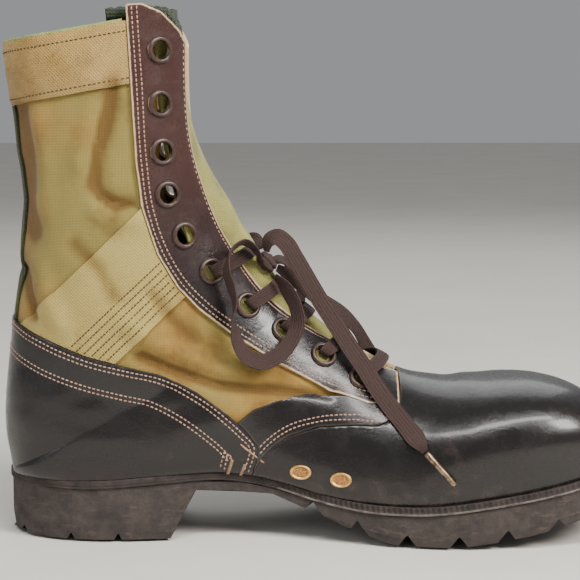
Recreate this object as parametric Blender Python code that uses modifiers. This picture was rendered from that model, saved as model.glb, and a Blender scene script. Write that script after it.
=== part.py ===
"""Jungle boot for the left foot: a canvas shaft, a leather counter and vamp, and a lugged rubber sole.

Tables are in millimetres: x from the back of the heel towards the toe, y from the centre line towards the
outer (lateral) side of the foot, z up from the floor. The meshes are in metres.
"""

import math

import bmesh
import bpy
import numpy as np
from mathutils import Matrix, Vector

MM = 0.001
MEDIAL = -1
LATERAL = 1
SIDES = ((MEDIAL, "medial"), (LATERAL, "lateral"))

# The part's origin, under the middle of its box, in the tables' own x and y.
ORIGIN_X = 161.1
ORIGIN_Y = -0.74

# The last
LAST_LENGTH = 312.0
HEEL_BACK = 5.5
FEATHER_COLUMNS = ("x", "medial", "lateral")
FEATHER = (
    (5.5, 0, 0),
    (22, 26, 26),
    (42, 33.5, 33.5),
    (70, 34.5, 35),
    (100, 31, 35),
    (130, 30, 38),
    (160, 36, 43),
    (190, 45, 48.5),
    (218, 50, 50.5),
    (250, 48.5, 49.5),
    (275, 43.5, 45),
    (292, 36, 38),
    (305, 26.5, 28),
    (317.5, 0, 0),
)
CENTRE_LINE = ((0, 0), (110, 0), (160, 1), (210, 0), (250, -3), (280, -7.5), (300, -10.5), (317.5, -12))
FEATHER_HEIGHT = (
    (0, 33),
    (50, 32.5),
    (86, 35),
    (112, 36),
    (141, 31.5),
    (161, 26),
    (182, 22.5),
    (212, 22),
    (245, 26),
    (275, 31.5),
    (300, 37),
    (318, 41),
)
# A row is one section, a plane through its front point and its back or bottom point. From HEEL_ROW on the
# back point runs along the feather line and the section is open underneath.
SECTION_COLUMNS = (
    "front_x", "front_z", "back_x", "back_z", "medial", "lateral", "wide_at", "front_power", "back_power",
)
SECTIONS = (
    (96, 280, 3, 262, 39, 39, 0.48, 2.9, 2.2),
    (95, 252, 4, 240, 39, 39, 0.48, 2.9, 2.2),
    (95, 227, 7, 213, 39, 39, 0.48, 2.9, 2.2),
    (97, 203, 10, 185, 38.5, 38.5, 0.47, 2.8, 2.2),
    (103, 181, 11, 157, 38, 38, 0.46, 2.6, 2.2),
    (112, 160, 9, 130, 37.5, 37.5, 0.44, 2.4, 2.2),
    (122, 144, 6, 103, 37, 37, 0.42, 2.3, 2.2),
    (132, 131, 3, 76, 37, 37, 0.40, 2.2, 2.2),
    (141, 121, 2, 54, 36.5, 36.5, 0.38, 2.2, 2.3),
    (148, 115, 5.5, 33, 36.5, 36.5, 0.37, 2.2, 2.4),
    (154, 110, 12, 33, 37, 37, 0.37, 2.2, 2.5),
    (163, 103, 30, 33, 37.5, 37.5, 0.36, 2.2, 2.5),
    (174, 96, 54, 33, 38, 38.5, 0.36, 2.2, 2.5),
    (186, 89, 85, 33, 37, 40, 0.35, 2.2, 2.5),
    (198, 82.5, 118, 33, 37.5, 43, 0.34, 2.2, 2.5),
    (211, 78, 150, 33, 41.5, 46.5, 0.32, 2.2, 2.5),
    (226, 76, 182, 33, 46.5, 50, 0.30, 2.3, 2.5),
    (242, 76.5, 213, 33, 51, 52, 0.30, 2.4, 2.5),
    (259, 78, 242, 33, 51, 52, 0.32, 2.5, 2.5),
    (275, 77.5, 267, 33, 47, 48.5, 0.34, 2.5, 2.5),
    (291, 73.5, 288, 33, 39.5, 41.5, 0.36, 2.4, 2.5),
    (304.5, 65.5, 304, 33, 28.5, 30, 0.40, 2.2, 2.4),
    (314, 56, 313.5, 33, 15, 16, 0.45, 2.0, 2.2),
    (317.5, 48, 317.5, 33, 0, 0, 0.50, 2.0, 2.0),
)
HEEL_ROW = 9
LAST_ROW = len(SECTIONS) - 1

# Layers, outwards from the last's surface
GAP = 0.3
CANVAS = 1.6
WEBBING = 1.2
LEATHER = 1.9
STRAP = 2.6
LIP = 2.0
SOCK_GAP = 0.5
TONGUE = 2.6

# Outlines in side view, x and z, the same on both sides unless named
COLLAR_TOP = ((-10, 247.5), (2, 249), (35, 254), (66, 259.5), (110, 267))
COLLAR_BAND_LOW = ((-10, 216.5), (2, 217.5), (35, 223), (68, 229), (110, 236))
EYESTAY_REAR = (
    (66, 300), (66.5, 267), (68.5, 229), (70.5, 190), (73.5, 167), (80.5, 145.5), (90, 129), (101, 117),
    (117, 104), (141, 88.5), (166, 75.5), (186, 68.5), (196, 68),
)
EYESTAY_TOP = ((40, 266), (66, 267.5), (74, 268), (83, 264), (90.5, 255.5), (95.5, 244))
EYESTAY_END = 201.5
THROAT_GAP = ((-200, 18), (-125, 19), (-70, 17), (0, 14), (60, 11), (100, 9), (120, 8.5))
COUNTER_TOP = (
    (-20, 110), (6, 111.5), (18, 106), (45, 95), (66, 89.5), (82, 85.5), (100, 76.5), (116, 65), (124, 57.5),
    (130.5, 49), (130, 43), (128, 37), (126.5, 26), (126.5, 10),
)
STRAP_TOP = ((112, 50), (120.5, 62), (128, 68), (140, 71.5), (157.5, 73.5), (172, 72.5), (186, 70), (230, 70))
VAMP_TOP = (
    (121, 10), (124, 28), (128, 36), (132, 43), (137, 48.5), (145.5, 54.5), (161, 58.5), (179, 59), (190, 58.5),
    (197, 61), (200.5, 66), (202, 72), (202, 100),
)
CANVAS_FRONT = 196.0
EYESTAY_LAP = 8.0
ANKLE_STRAP_UPPER = ((0, 97), (20, 117), (74, 169.5), (110, 204))
ANKLE_STRAP_LOWER = ((40, 72), (62, 93.5), (92, 122), (125, 153))
BACKSTAY_HALF = 13.0

# Throat furniture
EYELETS = (
    (82, 245.5), (82, 219.5), (83, 196), (85.5, 175), (93.5, 154.5), (106.5, 136), (124.5, 118),
    (143, 104.5), (163, 91.5), (182.5, 79.8),
)
EYELET_OUTER = 6.8
EYELET_HOLE = 4.5
EYELET_HEIGHT = 1.3
EYELET_SIDES = 8
HOLE_CLEARANCE = 0.9
VENTS = (("front", 172, 33.5), ("rear", 152, 37))
VENT_RADIUS = 5.8
VENT_HEIGHT = 1.0
TONGUE_TOP = 266
TONGUE_ROWS = (0.5, 14.1)
TONGUE_STEPS = 14
TONGUE_BULGE = (
    (-200, 1.0), (-125, 1.5), (-90, 3.5), (-50, 8.0), (-15, 7.0), (30, 3.5), (80, 2.0), (100, 0), (120, 0),
)
TONGUE_COLUMNS = ((0, 1), (0.45, 0.85), (0.8, 0.35), (1.05, 0), (None, 0))
TONGUE_REACH = ((-200, 33), (-60, 30), (60, 26), (120, 22))

# The sole
WELT_HEIGHT = 4.4
WELT_INSIDE = 7.0
WELT_EDGE = ((0, 3.6), (100, 3.6), (150, 4.2), (200, 5.0), (318, 5.0))
RIB_PITCH = 2.7
RIB_DEPTH = 0.7
RIBS_FROM = 140.0
PLAIN_STEP = 10
SOLE_EDGE = ((0, 3.0), (100, 2.6), (150, 3.4), (200, 4.4), (318, 4.2))
TREAD = (
    (0, 0.6), (6, 0), (86, 0), (99, 24.5), (138, 22.5), (150, 17.5), (176, 7.5), (196, 0.8), (202, 0), (230, 0),
    (248, 2.4), (266, 6.0), (285, 11), (304, 16.5), (318, 21),
)
INSOLE_HEIGHT = 6.0
SOLE_STEPS = 24
TREAD_FLAT = 14.0
TREAD_ROUND = 1.4
LUG_PITCH = 23.4
LUG_FIRST = 158.0
LUG_COUNT = 7
LUG_WIDTH = 12.0
LUG_HEIGHT = 7.0
LUG_LENGTH = 34.0
LUG_SLANT = 12.0
HEEL_LUGS = (18.0, 39.0, 60.0)
HEEL_LUG_WIDTH = 7.0
HEEL_LUG_HEIGHT = 4.5

# The lace. A row of a route is x, y, z and how far the tape leans out of the view from the inner side.
TAPE_WIDTH = 8.0
TAPE_BUNCHED = 5.0
TAPE = 1.3
LACED = (6, 7, 8, 9, 10)
BAR_STEPS = 5
KNOT = (135, -9, 139)
KNOT_HALF = (6.0, 5.5, 4.2)
LACE_LOOP_MEDIAL = (
    (132.4, -13.5, 140.4, 0.3), (127.5, -20, 147.5, 0.2), (122.5, -27, 150, 0), (117, -34, 146.5, -0.3),
    (115, -37, 139, -0.55), (117, -36, 130, -0.6), (119, -37, 122, -0.3), (118.5, -38, 113, 0.1),
    (120, -38, 103, 0.55), (125, -38, 95, 0.65), (132.5, -37.5, 92, 0.65), (140.5, -36, 95, 0.65),
    (147, -33, 102, 0.6), (150.5, -29, 110.5, 0.6), (149, -25, 119, 0.65), (144.5, -20, 126.5, 0.6),
    (139.5, -15.5, 132, 0.4),
)
LACE_LOOP_LATERAL = (
    (137.1, -3.8, 138.5, 0.2), (143, 5, 138, 0.2), (149, 14, 131, 0.3), (153, 24, 120, 0.4), (152, 32, 109, 0.5),
    (146, 38, 99, 0.6), (136, 41, 94, 0.6), (126, 41, 97, 0.6), (119.5, 40, 106, 0.4), (117.5, 38, 117, 0.1),
    (116, 37, 128, -0.3), (117.5, 34, 139, -0.3), (121.5, 26, 149, 0), (127.5, 13, 154, 0.1),
    (133.5, -1.5, 148.5, 0.2),
)
LACE_END_MEDIAL = (
    (134.8, -9, 144.3, 0.2), (136, -9.5, 150, 0.2), (140, -10.5, 152, 0.4), (144.5, -12, 149, 0.5),
    (149, -13.5, 142, 0.6), (155.5, -15, 131, 0.6), (162, -16.5, 120, 0.6), (169.5, -18.5, 108.5, 0.6),
    (177, -21.5, 97, 0.6), (184, -26.5, 87, 0.7), (190.5, -32, 77, 0.8), (197, -37.5, 68.5, 0.9),
    (203.5, -44, 61, 0.94), (209, -50, 54.5, 0.94), (212.5, -53.5, 49.5, 0.9),
)
LACE_END_LATERAL = (
    (140.3, -7.4, 135.8, 0.3), (147, -6.5, 131.5, 0.4), (153.5, -4.5, 126, 0.4), (160, -1, 120, 0.4),
    (167.5, 6, 115, 0.5), (175, 14, 109, 0.5), (182, 23.5, 101, 0.5), (187.5, 32.5, 91.5, 0.6),
    (193, 39.5, 82, 0.7), (199, 46, 73, 0.8), (205, 52, 64.5, 0.9), (210, 56.5, 57, 0.94),
    (213.5, 59, 50.5, 0.9),
)
AGLET_MEDIAL = ((212.9, -53.9, 49.0), (227, -57.5, 33.5))
AGLET_LATERAL = ((214.0, 59.4, 49.8), (227.5, 61, 34))
AGLET_RADIUS = 1.5

# The sheets' rows, and their columns from the front to the back or bottom
ROWS = 24
HALF_COLUMNS = (0, 0.06, 0.12, 0.19, 0.27, 0.36, 0.46, 0.57, 0.68, 0.79, 0.90, 1)
SNAP = 0.05


def hermite(table, x):
    """The smooth curve through a table of (x, value) rows, read at x, a number or an array."""
    knots, values = np.array(table, float).T
    slopes = np.gradient(values, knots)
    x = np.clip(x, knots[0], knots[-1])
    i = np.clip(np.searchsorted(knots, x) - 1, 0, len(knots) - 2)
    step = knots[i + 1] - knots[i]
    u = (x - knots[i]) / step
    return (
        (2 * u**3 - 3 * u**2 + 1) * values[i]
        + (u**3 - 2 * u**2 + u) * step * slopes[i]
        + (3 * u**2 - 2 * u**3) * values[i + 1]
        + (u**3 - u**2) * step * slopes[i + 1]
    )


def centre(x):
    """The y of the last's centre line."""
    return hermite(CENTRE_LINE, x)


def plan_share(x):
    """Where x lies along the last's length, from 0 to 1, even round the heel and the toe."""
    return np.arccos(1 - 2 * np.clip((x - HEEL_BACK) / LAST_LENGTH, 0, 1)) / math.pi


def plan_x(share):
    """The x at a share of the last's length, the inverse of plan_share."""
    return HEEL_BACK + LAST_LENGTH * (1 - np.cos(math.pi * share)) / 2


def feather_half(x, side):
    """The half width of the last's bottom at x. It leaves both ends square to the centre line."""
    column = FEATHER_COLUMNS.index("medial" if side == MEDIAL else "lateral")
    rows = [(float(plan_share(row[0])), row[column]) for row in FEATHER]
    rows = [(-rows[1][0], -rows[1][1]), *rows, (2 - rows[-2][0], -rows[-2][1])]
    return np.maximum(0.0, hermite(rows, plan_share(x)))


def feather_point(share, side, grow):
    """A point of the bottom's outline in plan, moved outwards by grow."""
    share = min(max(float(share), 0.0), 1.0)
    around = np.array([max(share - 0.004, 0.0), share, min(share + 0.004, 1.0)])
    x = plan_x(around)
    y = centre(x) + side * feather_half(x, side)
    away = np.array((-side * (y[2] - y[0]), side * (x[2] - x[0])))
    if share in (0.0, 1.0):
        away = np.array((2 * share - 1, 0.0))
    away /= np.linalg.norm(away)
    return float(x[1] + grow * away[0]), float(y[1] + grow * away[1])


def feather_height(x):
    """The height of the feather line, where the upper meets the sole."""
    return hermite(FEATHER_HEIGHT, x)


def row_spline(name, at, first=0, last=LAST_ROW, start="free", end="free"):
    """A column of SECTIONS read at fractional rows. An even or odd end mirrors the rows past it."""
    values = [SECTIONS[i][SECTION_COLUMNS.index(name)] for i in range(first, last + 1)]
    mirrored = {"free": lambda a, b: 2 * a - b, "even": lambda a, b: b, "odd": lambda a, b: 2 * a - b}
    values = np.array([mirrored[start](*values[:2]), *values, mirrored[end](*values[:-3:-1])], float)
    at = np.clip(at - first, 0.0, last - first)
    i = np.minimum(at.astype(int), last - first - 1)
    u = at - i
    a, b, c, d = (values[i + k] for k in range(4))
    return b + 0.5 * u * (c - a + u * (2 * a - 5 * b + 4 * c - d + u * (3 * (b - c) + d - a)))


def last_point(at, s):
    """Points of the last's surface: at is the row, and s runs from -1 at the medial bottom over 0 at the front."""
    at, s = np.broadcast_arrays(np.asarray(at, float), np.asarray(s, float))
    shaft = at <= HEEL_ROW
    front_x, front_z = row_spline("front_x", at, end="even"), row_spline("front_z", at)
    foot_x = row_spline("back_x", at, first=HEEL_ROW, start="even", end="even")
    back_x = np.where(shaft, row_spline("back_x", at, last=HEEL_ROW), foot_x)
    back_z = np.where(shaft, row_spline("back_z", at, last=HEEL_ROW), feather_height(foot_x))
    medial = s < 0
    low = np.where(shaft, 0.0, np.where(medial, feather_half(foot_x, MEDIAL), feather_half(foot_x, LATERAL)))
    wide = np.where(medial, row_spline("medial", at, end="odd"), row_spline("lateral", at, end="odd"))
    wide = np.maximum(wide, low)
    wide_at = row_spline("wide_at", at)
    front_power, back_power = row_spline("front_power", at), row_spline("back_power", at)
    turn = math.pi * np.minimum(np.abs(s), 1.0)
    sine, cosine = np.clip(np.sin(turn), 0, 1), np.cos(turn)
    ahead = turn <= math.pi / 2
    u = wide_at + np.where(
        ahead,
        (1 - wide_at) * np.clip(cosine, 0, 1) ** (2 / front_power),
        -wide_at * np.clip(-cosine, 0, 1) ** (2 / back_power),
    )
    half = np.where(ahead, wide * sine ** (2 / front_power), low + (wide - low) * sine ** (2 / back_power))
    x = back_x + u * (front_x - back_x)
    z = back_z + u * (front_z - back_z)
    return np.stack((x, centre(x) + np.where(medial, -1, 1) * half, z), axis=-1)


def last_normal(at, s):
    """The outward normals of the last's surface."""
    at, s = np.broadcast_arrays(np.asarray(at, float), np.asarray(s, float))
    at = np.minimum(at, LAST_ROW - 0.06)
    s = np.clip(s, -0.985, 0.985)
    along = last_point(at + 0.02, s) - last_point(np.maximum(at - 0.02, 0), s)
    across = last_point(at, s + 0.01) - last_point(at, s - 0.01)
    normal = np.cross(along, across)
    return normal / np.maximum(np.linalg.norm(normal, axis=-1, keepdims=True), 1e-9)


def on_side(x, z, side):
    """The row and s of the surface point that shows at x and z in side view."""
    rows, shares = np.meshgrid(np.linspace(0, LAST_ROW, 93), np.linspace(0.02, 0.98, 60), indexing="ij")
    spots = last_point(rows, side * shares)
    best = np.hypot(spots[..., 0] - x, spots[..., 2] - z).argmin()
    at, s = rows.flat[best], side * shares.flat[best]
    for _ in range(8):
        spots = last_point(np.array((at, at + 1e-3, at)), np.array((s, s, s + 1e-4)))[:, [0, 2]]
        slopes = np.column_stack(((spots[1] - spots[0]) / 1e-3, (spots[2] - spots[0]) / 1e-4))
        step = np.linalg.lstsq(slopes, spots[0] - (x, z), rcond=None)[0]
        at, s = at - np.clip(step[0], -0.3, 0.3), s - np.clip(step[1], -0.02, 0.02)
    return at, s


def beside(line, x, z):
    """The distance of points from a polyline whose end runs carry on, positive on its right as it runs."""
    x, z = np.asarray(x, float), np.asarray(z, float)
    best, signed = np.full(x.shape, np.inf), np.zeros(x.shape)
    for i, (a, b) in enumerate(zip(line, line[1:])):
        run = (b[0] - a[0], b[1] - a[1])
        u = ((x - a[0]) * run[0] + (z - a[1]) * run[1]) / (run[0] ** 2 + run[1] ** 2)
        u = np.clip(u, -np.inf if i == 0 else 0, np.inf if i == len(line) - 2 else 1)
        away = np.hypot(x - a[0] - u * run[0], z - a[1] - u * run[1])
        turn = np.sign((x - a[0]) * run[1] - (z - a[1]) * run[0])
        signed = np.where(away < best, turn * away, signed)
        best = np.minimum(away, best)
    return signed


def throat_share(x, z):
    """How far along the throat a point lies: it grows from the collar to the toe."""
    return x - z


def off_throat(x, y, z):
    """How far a point of the surface is outside the eyestay's front edge."""
    return np.abs(y - centre(x)) - hermite(THROAT_GAP, throat_share(x, z))


def collar_field(x, y, z):
    """Negative below the collar's edge."""
    return -beside(COLLAR_TOP, x, z)


def band_field(x, y, z):
    """Negative above the collar band's lower edge."""
    return beside(COLLAR_BAND_LOW, x, z)


def stay_rear_field(x, y, z):
    """Negative in front of and above the eyestay's rear and lower edge."""
    return beside(EYESTAY_REAR, x, z)


def eyestay_field(x, y, z):
    """Negative on an eyestay."""
    top = np.where(x < 98, -beside(EYESTAY_TOP, x, z), -9.0)
    return np.maximum.reduce([-off_throat(x, y, z), stay_rear_field(x, y, z), top, x - EYESTAY_END])


def counter_field(x, y, z):
    """Negative on the counter."""
    return -beside(COUNTER_TOP, x, z)


def vamp_field(x, y, z):
    """Negative on the vamp, below its top strip."""
    return -beside(VAMP_TOP, x, z)


def strap_field(x, y, z):
    """Negative on the strip along the vamp's top edge."""
    return np.maximum(-beside(STRAP_TOP, x, z), -vamp_field(x, y, z))


def ankle_field(x, y, z):
    """Negative on the diagonal webbing."""
    return np.maximum(-beside(ANKLE_STRAP_UPPER, x, z), beside(ANKLE_STRAP_LOWER, x, z))


def lip_field(x, y, z):
    """Negative above the line where the leather ends, just over the sole."""
    return feather_height(x) + LIP - z


def backstay_field(x, y, z):
    """Negative on the webbing of the back seam."""
    return np.maximum(np.abs(y) - BACKSTAY_HALF, x - 60)


def outside(field):
    """The field that is negative where the given one is positive."""
    return lambda x, y, z: -field(x, y, z)


def canvas_throat_field(x, y, z):
    """Negative on the canvas, whose edge lies under the eyestay, behind the eyelets."""
    return np.minimum(-stay_rear_field(x, y, z) - EYESTAY_LAP, CANVAS_FRONT - x)


def last_grid():
    """The rows and s values of the grid over the last's surface."""
    columns = [-s for s in HALF_COLUMNS[:0:-1]] + list(HALF_COLUMNS)
    return np.meshgrid(np.linspace(0, LAST_ROW, ROWS + 1), columns, indexing="ij")


def add_grid(bm, spots):
    """Triangles between a grid of points in millimetres, alike for every layer, so that layers keep their gap."""
    grid = [[bm.verts.new(Vector(p) * MM) for p in line] for line in spots]
    half = (len(grid[0]) - 1) // 2
    for upper, lower in zip(grid, grid[1:]):
        for j, (a, b, c, d) in enumerate(zip(upper, lower, lower[1:], upper[1:])):
            for corners in ((a, b, c), (a, c, d)) if j < half else ((a, b, d), (b, c, d)):
                bm.faces.new(corners)


def last_sheet(offset):
    """The last's surface as an open sheet of quads, offset millimetres outside it, its seams closed."""
    at, s = last_grid()
    spots = last_point(at, s) + offset * last_normal(at, s)
    seam = ((np.abs(s) == 1) & (at <= HEEL_ROW)) | (at == LAST_ROW)
    middle = (spots + spots[:, ::-1]) / 2
    middle[..., 1] = centre(middle[..., 0])
    spots = np.where(seam[..., None], middle, spots)
    bm = bmesh.new()
    add_grid(bm, spots)
    bmesh.ops.remove_doubles(bm, verts=bm.verts, dist=0.02 * MM)
    return bm


def trim(bm, field):
    """Cuts the sheet where the field is zero, and keeps the side where it is negative."""
    verts = list(bm.verts)
    spots = np.array([v.co for v in verts]) / MM
    amounts = field(*spots.T)
    amounts = np.where(np.abs(amounts) < SNAP, 0.0, amounts)
    value = dict(zip(verts, amounts.tolist()))
    for edge in list(bm.edges):
        a, b = edge.verts
        if value[a] * value[b] < 0:
            _, spot = bmesh.utils.edge_split(edge, a, value[a] / (value[a] - value[b]))
            value[spot] = 0.0
    for face in list(bm.faces):
        amounts = [value[v] for v in face.verts]
        if min(amounts) < 0 < max(amounts):
            on = [v for v in face.verts if value[v] == 0.0]
            for a, b in zip(on, on[1:] + on[:1]):
                if a is not b and not any(b in e.verts for e in a.link_edges):
                    bmesh.utils.face_split(face, a, b)
                    break
    doomed = [f for f in bm.faces if max(value[v] for v in f.verts) > 0]
    bmesh.ops.delete(bm, geom=doomed, context="FACES")


def keep_largest(bm):
    """Drops the small islands that a cut may leave, among them those that hang on by a corner only."""
    left = set(bm.faces)
    islands = []
    while left:
        todo = [left.pop()]
        island = set(todo)
        while todo:
            near = {face for edge in todo.pop().edges for face in edge.link_faces} & left
            left -= near
            island |= near
            todo.extend(near)
        islands.append(island)
    for island in sorted(islands, key=len)[:-1]:
        bmesh.ops.delete(bm, geom=list(island), context="FACES")


def material(name, colour, roughness, metallic=0.0):
    """A Principled material."""
    made = bpy.data.materials.get(name) or bpy.data.materials.new(name)
    made.use_nodes = True
    shader = made.node_tree.nodes["Principled BSDF"]
    shader.inputs["Base Color"].default_value = (*colour, 1)
    shader.inputs["Roughness"].default_value = roughness
    shader.inputs["Metallic"].default_value = metallic
    return made


MATERIALS = {
    "canvas": ((0.40, 0.31, 0.12), 0.9, 0.0),
    "webbing": ((0.45, 0.33, 0.14), 0.85, 0.0),
    "green_webbing": ((0.10, 0.13, 0.05), 0.85, 0.0),
    "black_leather": ((0.02, 0.018, 0.018), 0.28, 0.0),
    "brown_leather": ((0.07, 0.035, 0.03), 0.4, 0.0),
    "rubber": ((0.05, 0.04, 0.038), 0.7, 0.0),
    "insole_board": ((0.25, 0.2, 0.13), 0.8, 0.0),
    "enamel": ((0.06, 0.04, 0.035), 0.35, 0.3),
    "brass": ((0.65, 0.42, 0.16), 0.35, 1.0),
    "lace": ((0.05, 0.035, 0.03), 0.85, 0.0),
    "aglet": ((0.35, 0.27, 0.18), 0.3, 0.8),
}


def add_object(name, data, finish, home):
    """An object with its material, in the boot's collection, standing on the boot's origin."""
    made = bpy.data.objects.new(name, data)
    collection, origin = home
    collection.objects.link(made)
    made.parent = origin
    data.materials.append(material(finish, *MATERIALS[finish]))
    return made


def add_mesh(name, bm, finish, home, smooth=True):
    """An object from a bmesh, with faces shaded smooth."""
    mesh = bpy.data.meshes.new(name)
    bm.to_mesh(mesh)
    bm.free()
    made = add_object(name, mesh, finish, home)
    if smooth:
        mesh.shade_smooth()
        mesh.set_sharp_from_angle(angle=math.radians(35))
    return made


def thicken(made, thickness, outwards):
    """Gives a sheet its thickness, to the outer or the inner side."""
    shell = made.modifiers.new("Thickness", "SOLIDIFY")
    shell.thickness = thickness * MM
    shell.offset = 1 if outwards else -1
    shell.use_even_offset = False
    shell.use_rim = True
    return made


def add_panel(name, thickness, finish, home, *fields, side=None):
    """A panel of the upper: the last's own surface, cut by the fields, one gap outside the canvas."""
    bm = last_sheet(GAP)
    if side is not None:
        fields = (*fields, lambda x, y, z: GAP - side * (y - centre(x)))
    for field in fields:
        trim(bm, lambda x, y, z, field=field: field(x, y, z) + GAP / 2)
    keep_largest(bm)
    return thicken(add_mesh(name, bm, finish, home), thickness, outwards=True)


def add_upper(home):
    """The canvas shell, one wall from the feather line to the collar, open along the throat."""
    bm = last_sheet(0.0)
    trim(bm, collar_field)
    trim(bm, canvas_throat_field)
    keep_largest(bm)
    return thicken(add_mesh("upper", bm, "canvas", home), CANVAS, outwards=False)


def add_leather_and_webbing(home):
    """The panels that are sewn over the canvas, each cut where a higher one begins."""
    off_counter, off_stay = outside(counter_field), outside(stay_rear_field)
    add_panel("counter", LEATHER, "black_leather", home, counter_field, lip_field)
    add_panel("vamp", LEATHER, "black_leather", home, vamp_field, off_counter, lip_field)
    add_panel("collar_band", WEBBING, "webbing", home, collar_field, band_field, off_stay)
    add_panel(
        "backstay", WEBBING, "green_webbing", home, backstay_field, outside(band_field), off_counter
    )
    for side, name in SIDES:
        add_panel(f"vamp_strap_{name}", STRAP, "black_leather", home, strap_field, off_counter, off_stay, side=side)
        add_panel(
            f"ankle_strap_{name}", WEBBING, "webbing", home, ankle_field, off_counter, off_stay,
            outside(backstay_field), side=side,
        )


def facing(x, z, side, offset):
    """A matrix at the surface point that shows at x and z, its z axis along the outward normal."""
    at, s = on_side(x, z, side)
    normal = Vector(last_normal(at, s))
    spot = Vector(last_point(at, s)) + offset * normal
    turn = normal.to_track_quat("Z", "Y").to_matrix().to_4x4()
    return Matrix.Translation(spot * MM) @ turn


def add_cutter(name, meshes, cutters):
    """One hidden object that holds several separate cutting solids."""
    bm = bmesh.new()
    for mesh, place in meshes:
        piece = bmesh.new()
        piece.from_mesh(mesh)
        piece.transform(place)
        temporary = bpy.data.meshes.new("piece")
        piece.to_mesh(temporary)
        piece.free()
        bm.from_mesh(temporary)
        bpy.data.meshes.remove(temporary)
    bmesh.ops.recalc_face_normals(bm, faces=bm.faces)
    data = bpy.data.meshes.new(name)
    bm.to_mesh(data)
    bm.free()
    made = bpy.data.objects.new(name, data)
    cutters[0].objects.link(made)
    made.parent = cutters[1]
    made.hide_render = True
    made.display_type = "WIRE"
    return made


def cut(target, cutter, solver="EXACT"):
    """Cuts one object with another."""
    boolean = target.modifiers.new("Cut", "BOOLEAN")
    boolean.operation = "DIFFERENCE"
    boolean.object = cutter
    boolean.solver = solver


def peg(radius, depth, sides=6):
    """A closed cylinder about its origin, along z."""
    bm = bmesh.new()
    bmesh.ops.create_cone(
        bm, cap_ends=True, segments=sides, radius1=radius * MM, radius2=radius * MM, depth=depth * MM
    )
    mesh = bpy.data.meshes.new("peg")
    bm.to_mesh(mesh)
    bm.free()
    return mesh


def add_eyestays(home, cutters):
    """The leather down both sides of the throat, with a hole for each eyelet."""
    for side, name in SIDES:
        stay = add_panel(f"eyestay_{name}", LEATHER, "brown_leather", home, eyestay_field, side=side)
        pegs = [(peg(EYELET_HOLE + HOLE_CLEARANCE, 12), facing(x, z, side, 1.0)) for x, z in EYELETS]
        cut(stay, add_cutter(f"eyelet_holes_{name}", pegs, cutters))


def turned_ring(profile, sides):
    """A ring turned about z from a closed profile of (radius, height) points."""
    bm = bmesh.new()
    loops = []
    for i in range(sides):
        turn = 2 * math.pi * i / sides
        loops.append([bm.verts.new((r * MM * math.cos(turn), r * MM * math.sin(turn), h * MM)) for r, h in profile])
    for i, loop in enumerate(loops):
        after = loops[(i + 1) % sides]
        for j in range(len(profile)):
            k = (j + 1) % len(profile)
            bm.faces.new((loop[j], after[j], after[k], loop[k]))
    bmesh.ops.recalc_face_normals(bm, faces=bm.faces)
    mesh = bpy.data.meshes.new("ring")
    bm.to_mesh(mesh)
    bm.free()
    mesh.shade_smooth()
    return mesh


def add_eyelets(home):
    """Ten enamelled eyelets down each side."""
    seat = GAP + LEATHER + 1.6 * GAP
    for side, name in SIDES:
        for number, (x, z) in enumerate(EYELETS, 1):
            profile = ((EYELET_HOLE, 0.0), (EYELET_OUTER, 0.0), (EYELET_HOLE + 0.6, EYELET_HEIGHT))
            ring = turned_ring(profile, EYELET_SIDES)
            made = add_object(f"eyelet_{name}_{number:02d}", ring, "enamel", home)
            made.matrix_local = facing(x, z, side, seat)


def add_vents(home):
    """Two brass drain vents low on the vamp's medial side."""
    for name, x, z in VENTS:
        bm = bmesh.new()
        bmesh.ops.create_cone(
            bm, cap_ends=True, segments=12, radius1=VENT_RADIUS * MM, radius2=(VENT_RADIUS - 0.8) * MM,
            depth=VENT_HEIGHT * MM,
        )
        made = add_mesh(f"vent_medial_{name}", bm, "brass", home)
        made.matrix_local = facing(x, z, MEDIAL, GAP + LEATHER + GAP + VENT_HEIGHT / 2 + 0.1)


def add_tongue(home):
    """The canvas tongue, inside the shell and bulging between the eyestays."""
    at = np.linspace(*TONGUE_ROWS, TONGUE_STEPS + 1)
    front = last_point(at, 0.0)
    share = throat_share(front[:, 0], front[:, 2])
    gap, reach, bulge = (hermite(table, share) for table in (THROAT_GAP, TONGUE_REACH, TONGUE_BULGE))
    half = [(reach if wide is None else wide * gap, high * bulge) for wide, high in TONGUE_COLUMNS]
    y = np.stack([-wide for wide, _ in half[:0:-1]] + [wide for wide, _ in half], axis=1)
    rise = np.stack([high for _, high in half[:0:-1] + half], axis=1)
    at = np.broadcast_to(at[:, None], y.shape)
    s = section_share(at, y)
    spots = last_point(at, s) + (rise - CANVAS - SOCK_GAP)[..., None] * last_normal(at, s)
    bm = bmesh.new()
    add_grid(bm, spots)
    trim(bm, lambda x, y, z: z - TONGUE_TOP)
    return thicken(add_mesh("tongue", bm, "canvas", home), TONGUE, outwards=False)


def section_share(at, y):
    """The s at which the sections reach y beside the centre line, in their front halves."""
    low, high = np.zeros(at.shape), np.full(at.shape, 0.5)
    side = np.where(y < 0, -1, 1)
    for _ in range(24):
        middle = (low + high) / 2
        spots = last_point(at, side * middle)
        short = np.abs(spots[..., 1] - centre(spots[..., 0])) < np.abs(y)
        low, high = np.where(short, middle, low), np.where(short, high, middle)
    return side * low


def stations():
    """Shares of the length for the sole's and the insole's stations, the rows of TREAD among them."""
    exact = [float(plan_share(x)) for x, _ in TREAD[2:13]]
    steps = [i / SOLE_STEPS for i in range(SOLE_STEPS + 1)]
    return sorted(exact + [s for s in steps if all(abs(s - e) > 0.3 / SOLE_STEPS for e in exact)])


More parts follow.
